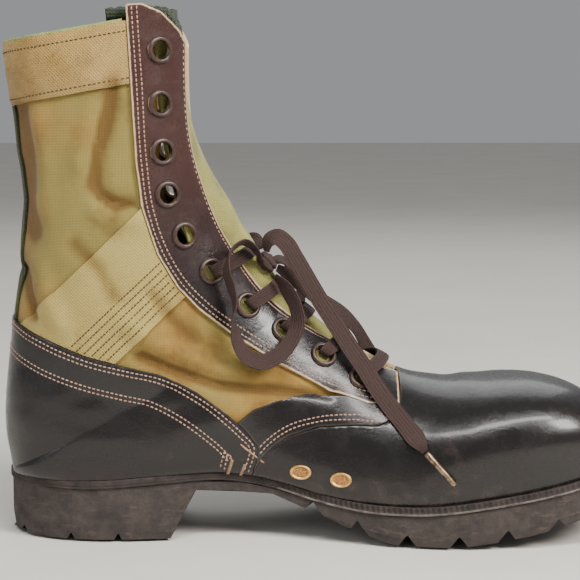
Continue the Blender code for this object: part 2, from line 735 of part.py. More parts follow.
def add_outsole(home, cutters):
    """The rubber sole and heel block, with V notches along its sides."""
    bm = bmesh.new()
    rings = []
    for share in stations():
        x = plan_x(share)
        edge = float(hermite(SOLE_EDGE, x))
        top = feather_height(x) - WELT_HEIGHT - 2.6 * GAP
        low = tread_height(x)
        medial, lateral = (feather_point(share, side, edge) for side in (MEDIAL, LATERAL))
        medial_low, lateral_low = (feather_point(share, side, edge - 1.2) for side in (MEDIAL, LATERAL))
        inset = min(TREAD_FLAT, 0.6 * (lateral[1] - medial[1]) / 2)
        medial_flat, lateral_flat = (feather_point(share, side, edge - inset) for side in (MEDIAL, LATERAL))
        shoulder = low + 0.35 * (top - low)
        rings.append([
            (*medial, top), (*medial, shoulder), (*medial_low, low + TREAD_ROUND), (*medial_flat, low),
            (*lateral_flat, low), (*lateral_low, low + TREAD_ROUND), (*lateral, shoulder), (*lateral, top),
        ])
    loft(bm, rings)
    sole = add_mesh("outsole", bm, "rubber", home)
    cut(sole, add_cutter("lug_notches", lug_cutters(), cutters), solver="MANIFOLD")


def tread_height(x):
    """The height of the sole's underside, in straight runs between the rows of TREAD."""
    return float(np.interp(x, [row[0] for row in TREAD], [row[1] for row in TREAD]))


def loft(bm, rings):
    """A closed solid through rings of points. A first or last ring that is flat is capped."""
    loops = [[bm.verts.new(Vector(p) * MM) for p in ring] for ring in rings]
    for a, b in zip(loops, loops[1:]):
        for j in range(len(a)):
            k = (j + 1) % len(a)
            bm.faces.new((a[j], b[j], b[k], a[k]))
    bm.faces.new(loops[0])
    bm.faces.new(loops[-1][::-1])
    bmesh.ops.remove_doubles(bm, verts=bm.verts, dist=0.02 * MM)
    flat = [f for f in bm.faces if f.calc_area() < 1e-10]
    bmesh.ops.delete(bm, geom=flat, context="FACES")
    bmesh.ops.recalc_face_normals(bm, faces=bm.faces)


def lug_cutters():
    """The V notches: wide at the tread, narrowing upwards and inwards, along both edges."""
    notches = [(LUG_FIRST + i * LUG_PITCH, LUG_WIDTH, LUG_HEIGHT, LUG_LENGTH, LUG_SLANT) for i in range(LUG_COUNT)]
    notches += [(x, HEEL_LUG_WIDTH, HEEL_LUG_HEIGHT, 16.0, 0.0) for x in HEEL_LUGS]
    made = []
    for x, width, height, length, slant in notches:
        for side, _ in SIDES:
            base = tread_height(x)
            edge_x, edge_y = feather_point(plan_share(x), side, 12.0)
            bm = bmesh.new()
            bmesh.ops.create_cube(bm, size=1)
            for v in bm.verts:
                outer = v.co.y * side > 0
                high = v.co.z > 0
                spread = 0.5 * width * (0.08 if high else 1.35) * (1.0 if outer else 0.8)
                v.co = Vector((
                    edge_x + math.copysign(spread, v.co.x) + (0 if outer else slant),
                    edge_y - (0 if outer else side * (length + 10)),
                    base + (height if high else -3.0),
                )) * MM
            mesh = bpy.data.meshes.new("notch")
            bm.to_mesh(mesh)
            bm.free()
            made.append((mesh, Matrix.Identity(4)))
    return made


def outline_walk(step):
    """Even places round the whole outline, as (share, side), from the heel by the lateral side and back."""
    shares = np.linspace(0, 1, 401)
    tags = [(s, LATERAL) for s in shares] + [(s, MEDIAL) for s in shares[-2::-1]]
    spots = np.array([feather_point(s, side, 0.0) for s, side in tags])
    around = np.concatenate([[0], np.cumsum(np.linalg.norm(np.diff(spots, axis=0), axis=1))])
    count = 2 * round(around[-1] / (2 * step))
    at = np.arange(count) * around[-1] / count
    index = np.interp(at, around, np.arange(len(tags)))
    toe = len(shares) - 1
    return [((toe - abs(i - toe)) / toe, LATERAL if i <= toe else MEDIAL) for i in index]


def add_welt(home):
    """The band between upper and sole: ribbed round the forefoot, plain at the waist and heel."""
    loops = []
    for i, (share, side) in enumerate(outline_walk(RIB_PITCH / 2)):
        x = float(plan_x(share))
        ribbed = x > RIBS_FROM
        if ribbed or i % PLAIN_STEP == 0:
            edge = float(hermite(WELT_EDGE, x))
            top = float(feather_height(x)) - 1.6 * GAP
            inner = feather_point(share, side, -WELT_INSIDE)
            outer = feather_point(share, side, edge)
            low = feather_point(share, side, edge - (RIB_DEPTH if ribbed and i % 2 else 0.0))
            loops.append([(*inner, top - WELT_HEIGHT / 2), (*outer, top), (*low, top - WELT_HEIGHT)])
    bm = bmesh.new()
    rings = [[bm.verts.new(Vector(p) * MM) for p in loop] for loop in loops]
    for ring, after in zip(rings, rings[1:] + rings[:1]):
        for j in range(3):
            k = (j + 1) % 3
            bm.faces.new((ring[j], after[j], after[k], ring[k]))
    bmesh.ops.recalc_face_normals(bm, faces=bm.faces)
    add_mesh("welt", bm, "rubber", home, smooth=False)


def add_insole(home):
    """The insole, which lies on the outsole inside the welt and shows through the collar."""
    bm = bmesh.new()
    rings = []
    for share in stations()[1:-1]:
        x = plan_x(share)
        low = feather_height(x) - WELT_HEIGHT - 1.6 * GAP
        medial, lateral = (feather_point(share, side, -WELT_INSIDE - 0.6) for side in (MEDIAL, LATERAL))
        if medial[1] > lateral[1] - 4:
            continue
        rings.append([(*medial, low), (*lateral, low), (*lateral, low + INSOLE_HEIGHT), (*medial, low + INSOLE_HEIGHT)])
    loft(bm, rings)
    add_mesh("insole", bm, "insole_board", home)


def unit(vectors):
    """The vectors at length one."""
    return vectors / np.maximum(np.linalg.norm(vectors, axis=-1, keepdims=True), 1e-9)


def add_tape(name, spots, across, widths, home, thickness=TAPE, finish="lace"):
    """A flat tape through points, its width along the given directions, square to its run."""
    run = unit(np.gradient(spots, axis=0))
    across = unit(across - np.sum(across * run, axis=1, keepdims=True) * run)
    face = np.cross(run, across) * thickness / 2
    side = across * np.asarray(widths)[:, None] / 2
    bm = bmesh.new()
    loft(bm, np.stack([spots + side + face, spots - side + face, spots - side - face, spots + side - face], axis=1))
    return add_mesh(name, bm, finish, home)


def add_bars(home):
    """The crossings of the lace, each from one eyelet's hole over the tongue to the other's."""
    for number in LACED:
        (at, s), (far_at, far_s) = (on_side(*EYELETS[number - 1], side) for side in (MEDIAL, LATERAL))
        out = 5.0 / np.linalg.norm(last_point(at, s) - last_point(at, 0.0))
        share = np.array([0, out, *np.linspace(0.45, 1.55, BAR_STEPS), 2 - out, 2]) / 2
        rows, turns = at + share * (far_at - at), s + share * (far_s - s)
        front = last_point(rows, 0.0)
        along = throat_share(front[:, 0], front[:, 2])
        off = np.abs(last_point(rows, turns)[:, 1] - front[:, 1]) / hermite(THROAT_GAP, along)
        bulge = hermite(TONGUE_BULGE, along) * np.interp(off, [0, 0.45, 0.8, 1.05], [1, 0.85, 0.35, 0])
        high = np.maximum(5.7, bulge - CANVAS - SOCK_GAP + 2.2)
        high[[0, -1]] = 4.8
        spots = last_point(rows, turns) + high[:, None] * last_normal(rows, turns)
        ends = [last_point(rows[i], turns[i]) + 1.6 * last_normal(rows[i], turns[i]) for i in (0, -1)]
        spots = np.array([ends[0], *spots, ends[1]])
        rows = np.array([rows[0], *rows, rows[-1]])
        across = last_point(rows + 0.3, 0.0) - last_point(rows - 0.3, 0.0)
        widths = [6, 6] + [TAPE_WIDTH - 1] * (len(spots) - 4) + [6, 6]
        add_tape(f"lace_bar_{number:02d}", spots, across, widths, home)


def add_free_lace(home):
    """The knot, the two loops of the bow and the two ends with their aglets."""
    bm = bmesh.new()
    bmesh.ops.create_icosphere(bm, subdivisions=1, radius=MM)
    bmesh.ops.scale(bm, vec=KNOT_HALF, verts=bm.verts)
    bmesh.ops.rotate(bm, cent=(0, 0, 0), matrix=Matrix.Rotation(math.radians(48), 3, "Y"), verts=bm.verts)
    bmesh.ops.translate(bm, vec=Vector(KNOT) * MM, verts=bm.verts)
    add_mesh("lace_knot", bm, "lace", home)
    routes = (
        ("lace_loop_medial", LACE_LOOP_MEDIAL, 2), ("lace_loop_lateral", LACE_LOOP_LATERAL, 2),
        ("lace_end_medial", LACE_END_MEDIAL, 1), ("lace_end_lateral", LACE_END_LATERAL, 1),
    )
    for name, route, bunched in routes:
        spots, lean = np.array(route)[:, :3], np.array(route)[:, 3:]
        run = unit(np.gradient(spots, axis=0))
        aside = unit(np.stack([run[:, 2], 0 * run[:, 1], -run[:, 0]], axis=1))
        across = lean * aside + np.sqrt(1 - lean**2) * np.array((0.0, -1.0, 0.0))
        widths = np.full(len(spots), TAPE_WIDTH)
        widths[0] = TAPE_BUNCHED
        widths[-1] = TAPE_BUNCHED if bunched == 2 else 3.2
        add_tape(name, spots, across, widths, home)
    for name, (near, far) in (("medial", AGLET_MEDIAL), ("lateral", AGLET_LATERAL)):
        near, far = Vector(near), Vector(far)
        made = add_object(f"aglet_{name}", peg(AGLET_RADIUS, (far - near).length, 6), "aglet", home)
        turn = (far - near).to_track_quat("Z", "Y").to_matrix().to_4x4()
        made.matrix_local = Matrix.Translation((near + far) / 2 * MM) @ turn


def clear_scene():
    """Removes the objects that the scene starts with."""
    for thing in list(bpy.data.objects):
        bpy.data.objects.remove(thing, do_unlink=True)


def main():
    """Builds the boot."""
    clear_scene()
    boot = bpy.data.collections.new("Jungle boot")
    hidden = bpy.data.collections.new("Cutters")
    for collection in (boot, hidden):
        bpy.context.scene.collection.children.link(collection)
    hidden.hide_render = True
    origin = bpy.data.objects.new("boot_origin", None)
    origin.location = (-ORIGIN_X * MM, -ORIGIN_Y * MM, 0)
    boot.objects.link(origin)
    home = (boot, origin)
    cutters = (hidden, origin)
    add_outsole(home, cutters)
    add_welt(home)
    add_insole(home)
    add_upper(home)
    add_tongue(home)
    add_leather_and_webbing(home)
    add_eyestays(home, cutters)
    add_eyelets(home)
    add_vents(home)
    add_bars(home)
    add_free_lace(home)


main()
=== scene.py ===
"""Looks for a left jungle boot: its own fine surfaces, seams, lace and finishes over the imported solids.

Sizes are in millimetres: x from the back of the heel towards the toe, y from the centre line towards the
outer (lateral) side of the foot, z up from the floor. Meshes are written in metres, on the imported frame.
"""

from __future__ import annotations

import logging
import math
from collections.abc import Callable, Iterator, Sequence
from dataclasses import dataclass, field
from enum import Enum

import bmesh
import bpy
import numpy as np
from mathutils import Matrix, Vector

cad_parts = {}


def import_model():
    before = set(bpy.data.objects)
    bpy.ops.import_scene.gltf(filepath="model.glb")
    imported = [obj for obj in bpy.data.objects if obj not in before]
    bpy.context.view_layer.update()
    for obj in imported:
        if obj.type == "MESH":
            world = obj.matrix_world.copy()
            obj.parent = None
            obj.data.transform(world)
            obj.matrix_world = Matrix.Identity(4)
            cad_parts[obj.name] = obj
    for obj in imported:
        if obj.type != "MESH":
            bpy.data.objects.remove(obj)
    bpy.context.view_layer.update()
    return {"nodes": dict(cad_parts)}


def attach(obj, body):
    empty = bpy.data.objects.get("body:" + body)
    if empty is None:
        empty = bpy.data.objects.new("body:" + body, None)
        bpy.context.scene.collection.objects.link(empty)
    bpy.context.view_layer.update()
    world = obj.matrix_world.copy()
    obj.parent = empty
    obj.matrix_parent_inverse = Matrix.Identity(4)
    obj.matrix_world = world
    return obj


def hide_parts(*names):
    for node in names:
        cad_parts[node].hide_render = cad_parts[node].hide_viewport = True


LOG = logging.getLogger("jungle_boot")
MM = 0.001
ORIGIN = np.array((161.1, -0.74, 0.0))
Array = np.ndarray
Table = Sequence[tuple[float, ...]]
Field = Callable[[Array, Array, Array], Array]
Colour = tuple[float, float, float]
Socket = bpy.types.NodeSocket
Mesh = bpy.types.Mesh
BMesh = bmesh.types.BMesh
Thing = bpy.types.Object


class Side(Enum):
    """The two sides of the foot, as the sign of y."""

    MEDIAL = -1
    LATERAL = 1

    @property
    def word(self) -> str:
        """The side's name in lower case."""
        return self.name.lower()


HEEL_BACK = 5.5
LAST_LENGTH = 312.0
FEATHER_COLUMNS = ("x", "medial", "lateral")
FEATHER = (
    (5.5, 0, 0), (22, 26, 26), (42, 33.5, 33.5), (70, 34.5, 35), (100, 31, 35), (130, 30, 38),
    (160, 36, 43), (190, 45, 48.5), (218, 50, 50.5), (250, 48.5, 49.5), (275, 43.5, 45), (292, 36, 38),
    (305, 26.5, 28), (317.5, 0, 0),
)
CENTRE_LINE = (
    (0, 0), (110, 0), (160, 1), (210, 0), (250, -3), (280, -7.5), (300, -10.5), (317.5, -12),
)
FEATHER_HEIGHT = (
    (0, 33), (50, 32.5), (86, 35), (112, 36), (141, 31.5), (161, 26), (182, 22.5), (212, 22), (245, 26),
    (275, 31.5), (300, 37), (318, 41),
)
# A row is one section, a plane through its front point and its back or bottom point. From HEEL_ROW on the
# back point runs along the feather line and the section is open underneath.
SECTION_COLUMNS = (
    "front_x", "front_z", "back_x", "back_z", "medial", "lateral", "wide_at", "front_power", "back_power",
)
SECTIONS = (
    (96, 280, 3, 262, 39, 39, 0.48, 2.9, 2.2),
    (95, 252, 4, 240, 39, 39, 0.48, 2.9, 2.2),
    (95, 227, 7, 213, 39, 39, 0.48, 2.9, 2.2),
    (97, 203, 10, 185, 38.5, 38.5, 0.47, 2.8, 2.2),
    (103, 181, 11, 157, 38, 38, 0.46, 2.6, 2.2),
    (112, 160, 9, 130, 37.5, 37.5, 0.44, 2.4, 2.2),
    (122, 144, 6, 103, 37, 37, 0.42, 2.3, 2.2),
    (132, 131, 3, 76, 37, 37, 0.40, 2.2, 2.2),
    (141, 121, 2, 54, 36.5, 36.5, 0.38, 2.2, 2.3),
    (148, 115, 5.5, 33, 36.5, 36.5, 0.37, 2.2, 2.4),
    (154, 110, 12, 33, 37, 37, 0.37, 2.2, 2.5),
    (163, 103, 30, 33, 37.5, 37.5, 0.36, 2.2, 2.5),
    (174, 96, 54, 33, 38, 38.5, 0.36, 2.2, 2.5),
    (186, 89, 85, 33, 37, 40, 0.35, 2.2, 2.5),
    (198, 82.5, 118, 33, 37.5, 43, 0.34, 2.2, 2.5),
    (211, 78, 150, 33, 41.5, 46.5, 0.32, 2.2, 2.5),
    (226, 76, 182, 33, 46.5, 50, 0.30, 2.3, 2.5),
    (242, 76.5, 213, 33, 51, 52, 0.30, 2.4, 2.5),
    (259, 78, 242, 33, 51, 52, 0.32, 2.5, 2.5),
    (275, 77.5, 267, 33, 47, 48.5, 0.34, 2.5, 2.5),
    (291, 73.5, 288, 33, 39.5, 41.5, 0.36, 2.4, 2.5),
    (304.5, 65.5, 304, 33, 28.5, 30, 0.40, 2.2, 2.4),
    (314, 56, 313.5, 33, 15, 16, 0.45, 2.0, 2.2),
    (317.5, 48, 317.5, 33, 0, 0, 0.50, 2.0, 2.0),
)
HEEL_ROW = 9
LAST_ROW = len(SECTIONS) - 1

# Layers, outwards from the last's surface
GAP = 0.3
CANVAS = 1.6
WEBBING = 1.2
LEATHER = 1.9
STRAP = 2.6
LIP = 2.0
SOCK_GAP = 0.5
TONGUE = 2.6

# Outlines in side view, x and z, the same on both sides unless named
COLLAR_TOP = ((-10, 247.5), (2, 249), (35, 254), (66, 259.5), (110, 267))
COLLAR_BAND_LOW = ((-10, 216.5), (2, 217.5), (35, 223), (68, 229), (110, 236))
EYESTAY_REAR = (
    (66, 300), (66.5, 267), (68.5, 229), (70.5, 190), (73.5, 167), (80.5, 145.5), (90, 129), (101, 117),
    (117, 104), (141, 88.5), (166, 75.5), (186, 68.5), (196, 68),
)
EYESTAY_TOP = ((40, 266), (66, 267.5), (74, 268), (83, 264), (90.5, 255.5), (95.5, 244))
EYESTAY_TOP_TO = 98.0
EYESTAY_END = 201.5
THROAT_GAP = ((-200, 18), (-125, 19), (-70, 17), (0, 14), (60, 11), (100, 9), (120, 8.5))
COUNTER_TOP = (
    (-20, 110), (6, 111.5), (18, 106), (45, 95), (66, 89.5), (82, 85.5), (100, 76.5), (116, 65),
    (124, 57.5), (130.5, 49), (130, 43), (128, 37), (126.5, 26), (126.5, 10),
)
STRAP_TOP = (
    (112, 50), (120.5, 62), (128, 68), (140, 71.5), (157.5, 73.5), (172, 72.5), (186, 70), (230, 70),
)
VAMP_TOP = (
    (121, 10), (124, 28), (128, 36), (132, 43), (137, 48.5), (145.5, 54.5), (161, 58.5), (179, 59),
    (190, 58.5), (197, 61), (200.5, 66), (202, 72), (202, 100),
)
CANVAS_FRONT = 196.0
EYESTAY_LAP = 8.0
ANKLE_STRAP_UPPER = ((0, 97), (20, 117), (74, 169.5), (110, 204))
ANKLE_STRAP_LOWER = ((40, 72), (62, 93.5), (92, 122), (125, 153))
BACKSTAY_HALF = 13.0
BACKSTAY_TO = 60

# Throat furniture
EYELETS = (
    (82, 245.5), (82, 219.5), (83, 196), (85.5, 175), (93.5, 154.5), (106.5, 136), (124.5, 118),
    (143, 104.5), (163, 91.5), (182.5, 79.8),
)
EYELET_HOLE = 4.5
HOLE_CLEARANCE = 0.9
VENTS = (("front", 172, 33.5), ("rear", 152, 37))
TONGUE_TOP = 266
TONGUE_ROWS = (0.5, 14.1)
TONGUE_BULGE = (
    (-200, 1.0), (-125, 1.5), (-90, 3.5), (-50, 8.0), (-15, 7.0), (30, 3.5), (80, 2.0), (100, 0), (120, 0),
)
TONGUE_RISE = ((0, 1), (0.45, 0.85), (0.8, 0.35), (1.05, 0), (2.2, 0), (9, 0))
TONGUE_REACH = ((-200, 33), (-60, 30), (60, 26), (120, 22))

# The sole
WELT_HEIGHT = 4.4
WELT_INSIDE = 7.0
INTO_WELT = 0.2
WELT_EDGE = ((0, 3.6), (100, 3.6), (150, 4.2), (200, 5.0), (318, 5.0))
RIB_PITCH = 2.7
RIB_DEPTH = 0.7
RIBS_FROM = 140.0

# The lace. A row of a route is x, y, z and how far the tape leans out of the view from the inner side.
TAPE_WIDTH = 8.0
TAPE_BUNCHED = 5.0
TAPE_AT_AGLET = 3.2
TAPE = 1.3
LACED = (6, 7, 8, 9, 10)
KNOT = (135, -9, 139)
KNOT_HALF = (6.0, 5.5, 4.2)
LACE_LOOP_MEDIAL = (
    (132.4, -13.5, 140.4, 0.3), (127.5, -20, 147.5, 0.3), (122.5, -27, 150, 0.3), (117, -34, 146.5, 0.1),
    (115, -37, 139, -0.35), (117, -36, 130, -0.5), (119, -37, 122, -0.3), (118.5, -38, 113, 0.1),
    (120, -38, 103, 0.55), (125, -38, 95, 0.75), (132.5, -37.5, 92, 0.8), (140.5, -36, 95, 0.8),
    (147, -33, 102, 0.75), (150.5, -29, 110.5, 0.7), (149, -25, 119, 0.7), (144.5, -20, 126.5, 0.7),
    (139.5, -15.5, 132, 0.5),
)
LACE_LOOP_LATERAL = (
    (137.1, -3.8, 138.5, 0.2), (143, 5, 138, 0.2), (149, 14, 131, 0.3), (153, 24, 120, 0.4),
    (152, 32, 109, 0.5), (146, 38, 99, 0.6), (136, 41, 94, 0.6), (126, 41, 97, 0.6),
    (119.5, 40, 106, 0.4), (117.5, 38, 117, 0.1), (116, 37, 128, -0.3), (117.5, 34, 138, -0.1),
    (121.5, 26, 145, 0.2), (127.5, 13, 148.5, 0.3), (133, -1.5, 145.5, 0.4),
)
LACE_END_MEDIAL = (
    (134.8, -9, 144.3, 0.5), (136, -9.5, 150, 0.7), (140, -10.5, 152, 0.85), (144.5, -12, 149, 0.95),
    (149, -13.5, 142, 0.97), (155.5, -15, 131, 0.97), (162, -16.5, 120, 0.97), (169.5, -18.5, 108.5, 0.97),
    (177, -21.5, 97, 0.97), (184, -26.5, 87, 0.97), (190.5, -32, 77, 0.97), (197, -37.5, 68.5, 0.97),
    (203.5, -44, 61, 0.96), (209, -50, 54.5, 0.95), (212.5, -53.5, 49.5, 0.9),
)
LACE_END_LATERAL = (
    (140.3, -7.4, 135.8, 0.6), (147, -6.5, 131.5, 0.7), (153.5, -4.5, 126, 0.7), (160, -1, 120, 0.6),
    (167.5, 6, 115, 0.6), (175, 14, 109, 0.6), (182, 23.5, 101, 0.5), (187.5, 32.5, 91.5, 0.6),
    (193, 39.5, 82, 0.7), (199, 46, 73, 0.8), (205, 52, 64.5, 0.9), (210, 56.5, 57, 0.94),
    (213.5, 59, 50.5, 0.9),
)
AGLET_MEDIAL = ((212.9, -53.9, 49.0), (227, -57.5, 33.5))
AGLET_LATERAL = ((214.0, 59.4, 49.8), (227.5, 61, 34))


def hermite(table: Table, x: Array | float) -> Array:
    """The smooth curve through a table of (x, value) rows, read at x, a number or an array.

    Args:
        table: Rows of x and value, in rising x.
        x: Where to read it.

    Returns:
        The value at each x.
    """
    knots, values = np.array(table, float).T
    slopes = np.gradient(values, knots)
    x = np.clip(x, knots[0], knots[-1])
    i = np.clip(np.searchsorted(knots, x) - 1, 0, len(knots) - 2)
    step = knots[i + 1] - knots[i]
    u = (x - knots[i]) / step
    return (
        (2 * u**3 - 3 * u**2 + 1) * values[i]
        + (u**3 - 2 * u**2 + u) * step * slopes[i]
        + (3 * u**2 - 2 * u**3) * values[i + 1]
        + (u**3 - u**2) * step * slopes[i + 1]
    )


def centre(x: Array | float) -> Array:
    """The y of the last's centre line."""
    return hermite(CENTRE_LINE, x)


def plan_share(x: Array | float) -> Array:
    """Where x lies along the last's length, from 0 to 1, even round the heel and the toe."""
    return np.arccos(1 - 2 * np.clip((x - HEEL_BACK) / LAST_LENGTH, 0, 1)) / math.pi


def plan_x(share: Array | float) -> Array:
    """The x at a share of the last's length, the inverse of plan_share."""
    return HEEL_BACK + LAST_LENGTH * (1 - np.cos(math.pi * share)) / 2


def feather_half(x: Array | float, side: int) -> Array:
    """The half width of the last's bottom at x. It leaves both ends square to the centre line.

    Args:
        x: The place along the boot.
        side: The side, -1 or 1.

    Returns:
        The half width.
    """
    column = FEATHER_COLUMNS.index("medial" if side == Side.MEDIAL.value else "lateral")
    rows = [(float(plan_share(row[0])), row[column]) for row in FEATHER]
    rows = [(-rows[1][0], -rows[1][1]), *rows, (2 - rows[-2][0], -rows[-2][1])]
    return np.maximum(0.0, hermite(rows, plan_share(x)))


def feather_point(share: float, side: int, grow: float) -> tuple[float, float]:
    """A point of the bottom's outline in plan, moved outwards by grow.

    Args:
        share: The place along the length, from 0 to 1.
        side: The side, -1 or 1.
        grow: How far outside the outline.

    Returns:
        The point's x and y.
    """
    share = min(max(float(share), 0.0), 1.0)
    around = np.clip([share - 0.004, share, share + 0.004], 0.0, 1.0)
    x = plan_x(around)
    y = centre(x) + side * feather_half(x, side)
    away = np.array((-side * (y[2] - y[0]), side * (x[2] - x[0])))
    if share in (0.0, 1.0):
        away = np.array((2 * share - 1, 0.0))
    away /= np.linalg.norm(away)
    return float(x[1] + grow * away[0]), float(y[1] + grow * away[1])


def feather_height(x: Array | float) -> Array:
    """The height of the feather line, where the upper meets the sole."""
    return hermite(FEATHER_HEIGHT, x)


def row_spline(
    name: str, at: Array, first: int = 0, last: int = LAST_ROW, start: str = "free", end: str = "free"
) -> Array:
    """A column of SECTIONS read at fractional rows. An even or odd end mirrors the rows past it.

    Args:
        name: The column of SECTIONS.
        at: The rows to read.
        first: The first row of the run.
        last: The last row of the run.
        start: How the run carries on before its first row.
        end: How the run carries on after its last row.

    Returns:
        The values.
    """
    values = [SECTIONS[i][SECTION_COLUMNS.index(name)] for i in range(first, last + 1)]
    mirrored = {"free": lambda a, b: 2 * a - b, "even": lambda a, b: b, "odd": lambda a, b: 2 * a - b}
    values = np.array([mirrored[start](*values[:2]), *values, mirrored[end](*values[:-3:-1])], float)
    at = np.clip(at - first, 0.0, last - first)
    i = np.minimum(at.astype(int), last - first - 1)
    u = at - i
    a, b, c, d = (values[i + k] for k in range(4))
    return b + 0.5 * u * (c - a + u * (2 * a - 5 * b + 4 * c - d + u * (3 * (b - c) + d - a)))


def last_point(at: Array | float, s: Array | float) -> Array:
    """Points of the last's surface. Round a row, s runs from -1 at the medial bottom over 0 at the front.

    Args:
        at: The row, from 0 at the collar to LAST_ROW at the toe.
        s: The place round the row.

    Returns:
        The points, x, y and z in the last axis.
    """
    at, s = np.broadcast_arrays(np.asarray(at, float), np.asarray(s, float))
    shaft = at <= HEEL_ROW
    front_x, front_z = row_spline("front_x", at, end="even"), row_spline("front_z", at)
    foot_x = row_spline("back_x", at, first=HEEL_ROW, start="even", end="even")
    back_x = np.where(shaft, row_spline("back_x", at, last=HEEL_ROW), foot_x)
    back_z = np.where(shaft, row_spline("back_z", at, last=HEEL_ROW), feather_height(foot_x))
    medial = s < 0
    low = np.where(shaft, 0.0, np.where(medial, feather_half(foot_x, -1), feather_half(foot_x, 1)))
    wide = np.where(medial, row_spline("medial", at, end="odd"), row_spline("lateral", at, end="odd"))
    wide = np.maximum(wide, low)
    wide_at = row_spline("wide_at", at)
    front_power, back_power = row_spline("front_power", at), row_spline("back_power", at)
    turn = math.pi * np.minimum(np.abs(s), 1.0)
    sine, cosine = np.clip(np.sin(turn), 0, 1), np.cos(turn)
    ahead = turn <= math.pi / 2
    u = wide_at + np.where(
        ahead,
        (1 - wide_at) * np.clip(cosine, 0, 1) ** (2 / front_power),
        -wide_at * np.clip(-cosine, 0, 1) ** (2 / back_power),
    )
    half = np.where(ahead, wide * sine ** (2 / front_power), low + (wide - low) * sine ** (2 / back_power))
    x = back_x + u * (front_x - back_x)
    z = back_z + u * (front_z - back_z)
    return np.stack((x, centre(x) + np.where(medial, -1, 1) * half, z), axis=-1)


EASE_REACH = 1.3
EASE_STEPS = {-0.8: 1, -0.4: 2, 0.0: 2, 0.4: 2, 0.8: 1}


def shown_point(at: Array | float, s: Array | float) -> Array:
    """The last's surface points, eased sideways where the shaft's sections turn into the foot's.

    Args:
        at: The row.
        s: The place round the row.

    Returns:
        The points.
    """
    at, s = np.broadcast_arrays(np.asarray(at, float), np.asarray(s, float))
    ease = np.exp(-(((at - HEEL_ROW) / EASE_REACH) ** 2)) * np.clip((0.97 - np.abs(s)) / 0.06, 0, 1)
    near = [weight * last_point(np.clip(at + step, 0, LAST_ROW), s) for step, weight in EASE_STEPS.items()]
    spots = last_point(at, s)
    spots[..., 1] += ease * (sum(near)[..., 1] / sum(EASE_STEPS.values()) - spots[..., 1])
    return spots


def last_normal(at: Array | float, s: Array | float) -> Array:
    """The outward normals of the last's surface.

    Args:
        at: The row.
        s: The place round the row.

    Returns:
        The unit normals.
    """
    at, s = np.broadcast_arrays(np.asarray(at, float), np.asarray(s, float))
    at = np.minimum(at, LAST_ROW - 0.06)
    s = np.clip(s, -0.985, 0.985)
    along = last_point(at + 0.02, s) - last_point(np.maximum(at - 0.02, 0), s)
    across = last_point(at, s + 0.01) - last_point(at, s - 0.01)
    normal = np.cross(along, across)
    return normal / np.maximum(np.linalg.norm(normal, axis=-1, keepdims=True), 1e-9)


SOLVER_ROWS = 93
SOLVER_TURNS = 60
SOLVER_STEPS = 10


def on_side(x: Array | float, z: Array | float, side: int) -> tuple[Array, Array]:
    """The rows and s of the surface points that show at x and z in side view.

    Args:
        x: The places along the boot.
        z: The heights.
        side: The side, -1 or 1.

    Returns:
        The rows and the s values.
    """
    x, z = np.atleast_1d(np.asarray(x, float)), np.atleast_1d(np.asarray(z, float))
    grid = np.linspace(0, LAST_ROW, SOLVER_ROWS), np.linspace(0.02, 0.98, SOLVER_TURNS)
    rows, shares = np.meshgrid(*grid, indexing="ij")
    spots = last_point(rows, side * shares).reshape(-1, 3)
    best = np.hypot(spots[:, 0] - x[:, None], spots[:, 2] - z[:, None]).argmin(axis=1)
    at, s = rows.ravel()[best], side * shares.ravel()[best]
    for _ in range(SOLVER_STEPS):
        here = last_point(at, s)[:, [0, 2]]
        by_row = (last_point(at + 1e-3, s)[:, [0, 2]] - here) / 1e-3
        by_s = (last_point(at, s + 1e-4)[:, [0, 2]] - here) / 1e-4
        miss = here - np.stack([x, z], axis=1)
        size = by_row[:, 0] * by_s[:, 1] - by_row[:, 1] * by_s[:, 0]
        size = np.where(np.abs(size) < 1e-6, 1e-6, size)
        step_row = (miss[:, 0] * by_s[:, 1] - miss[:, 1] * by_s[:, 0]) / size
        step_s = (by_row[:, 0] * miss[:, 1] - by_row[:, 1] * miss[:, 0]) / size
        at = np.clip(at - np.clip(step_row, -0.3, 0.3), 0, LAST_ROW)
        s = s - np.clip(step_s, -0.02, 0.02)
    return at, s


def run_distances(line: Table, x: Array, z: Array, endless: bool) -> Iterator[tuple[Array, Array]]:
    """For each run of a polyline, how far points are from it, and 1 where they are on its right, else -1.

    Args:
        line: The points of the polyline.
        x: The points' x.
        z: The points' z.
        endless: Whether the first and the last run carry on.
    """
    ends = (-np.inf, np.inf) if endless else (0, 1)
    for i, (a, b) in enumerate(zip(line, line[1:])):
        run, off_x, off_z = (b[0] - a[0], b[1] - a[1]), x - a[0], z - a[1]
        u = (off_x * run[0] + off_z * run[1]) / (run[0] ** 2 + run[1] ** 2)
        u = np.clip(u, ends[0] if i == 0 else 0, ends[1] if i == len(line) - 2 else 1)
        yield np.hypot(off_x - u * run[0], off_z - u * run[1]), np.sign(off_x * run[1] - off_z * run[0])


def beside(line: Table, x: Array, z: Array) -> Array:
    """The distance of points from a polyline whose end runs carry on, positive on its right as it runs.

    Args:
        line: The points of the polyline.
        x: The points' x.
        z: The points' z.

    Returns:
        The signed distances.
    """
    x, z = np.asarray(x, float), np.asarray(z, float)
    best, signed = np.full(x.shape, np.inf), np.zeros(x.shape)
    for away, turn in run_distances(line, x, z, True):
        signed = np.where(away < best, turn * away, signed)
        best = np.minimum(away, best)
    return signed


def throat_share(x: Array | float, z: Array | float) -> Array:
    """How far along the throat a point lies: it grows from the collar to the toe."""
    return x - z


def off_throat(x: Array, y: Array, z: Array) -> Array:
    """How far a point of the surface is outside the eyestay's front edge."""
    return np.abs(y - centre(x)) - hermite(THROAT_GAP, throat_share(x, z))


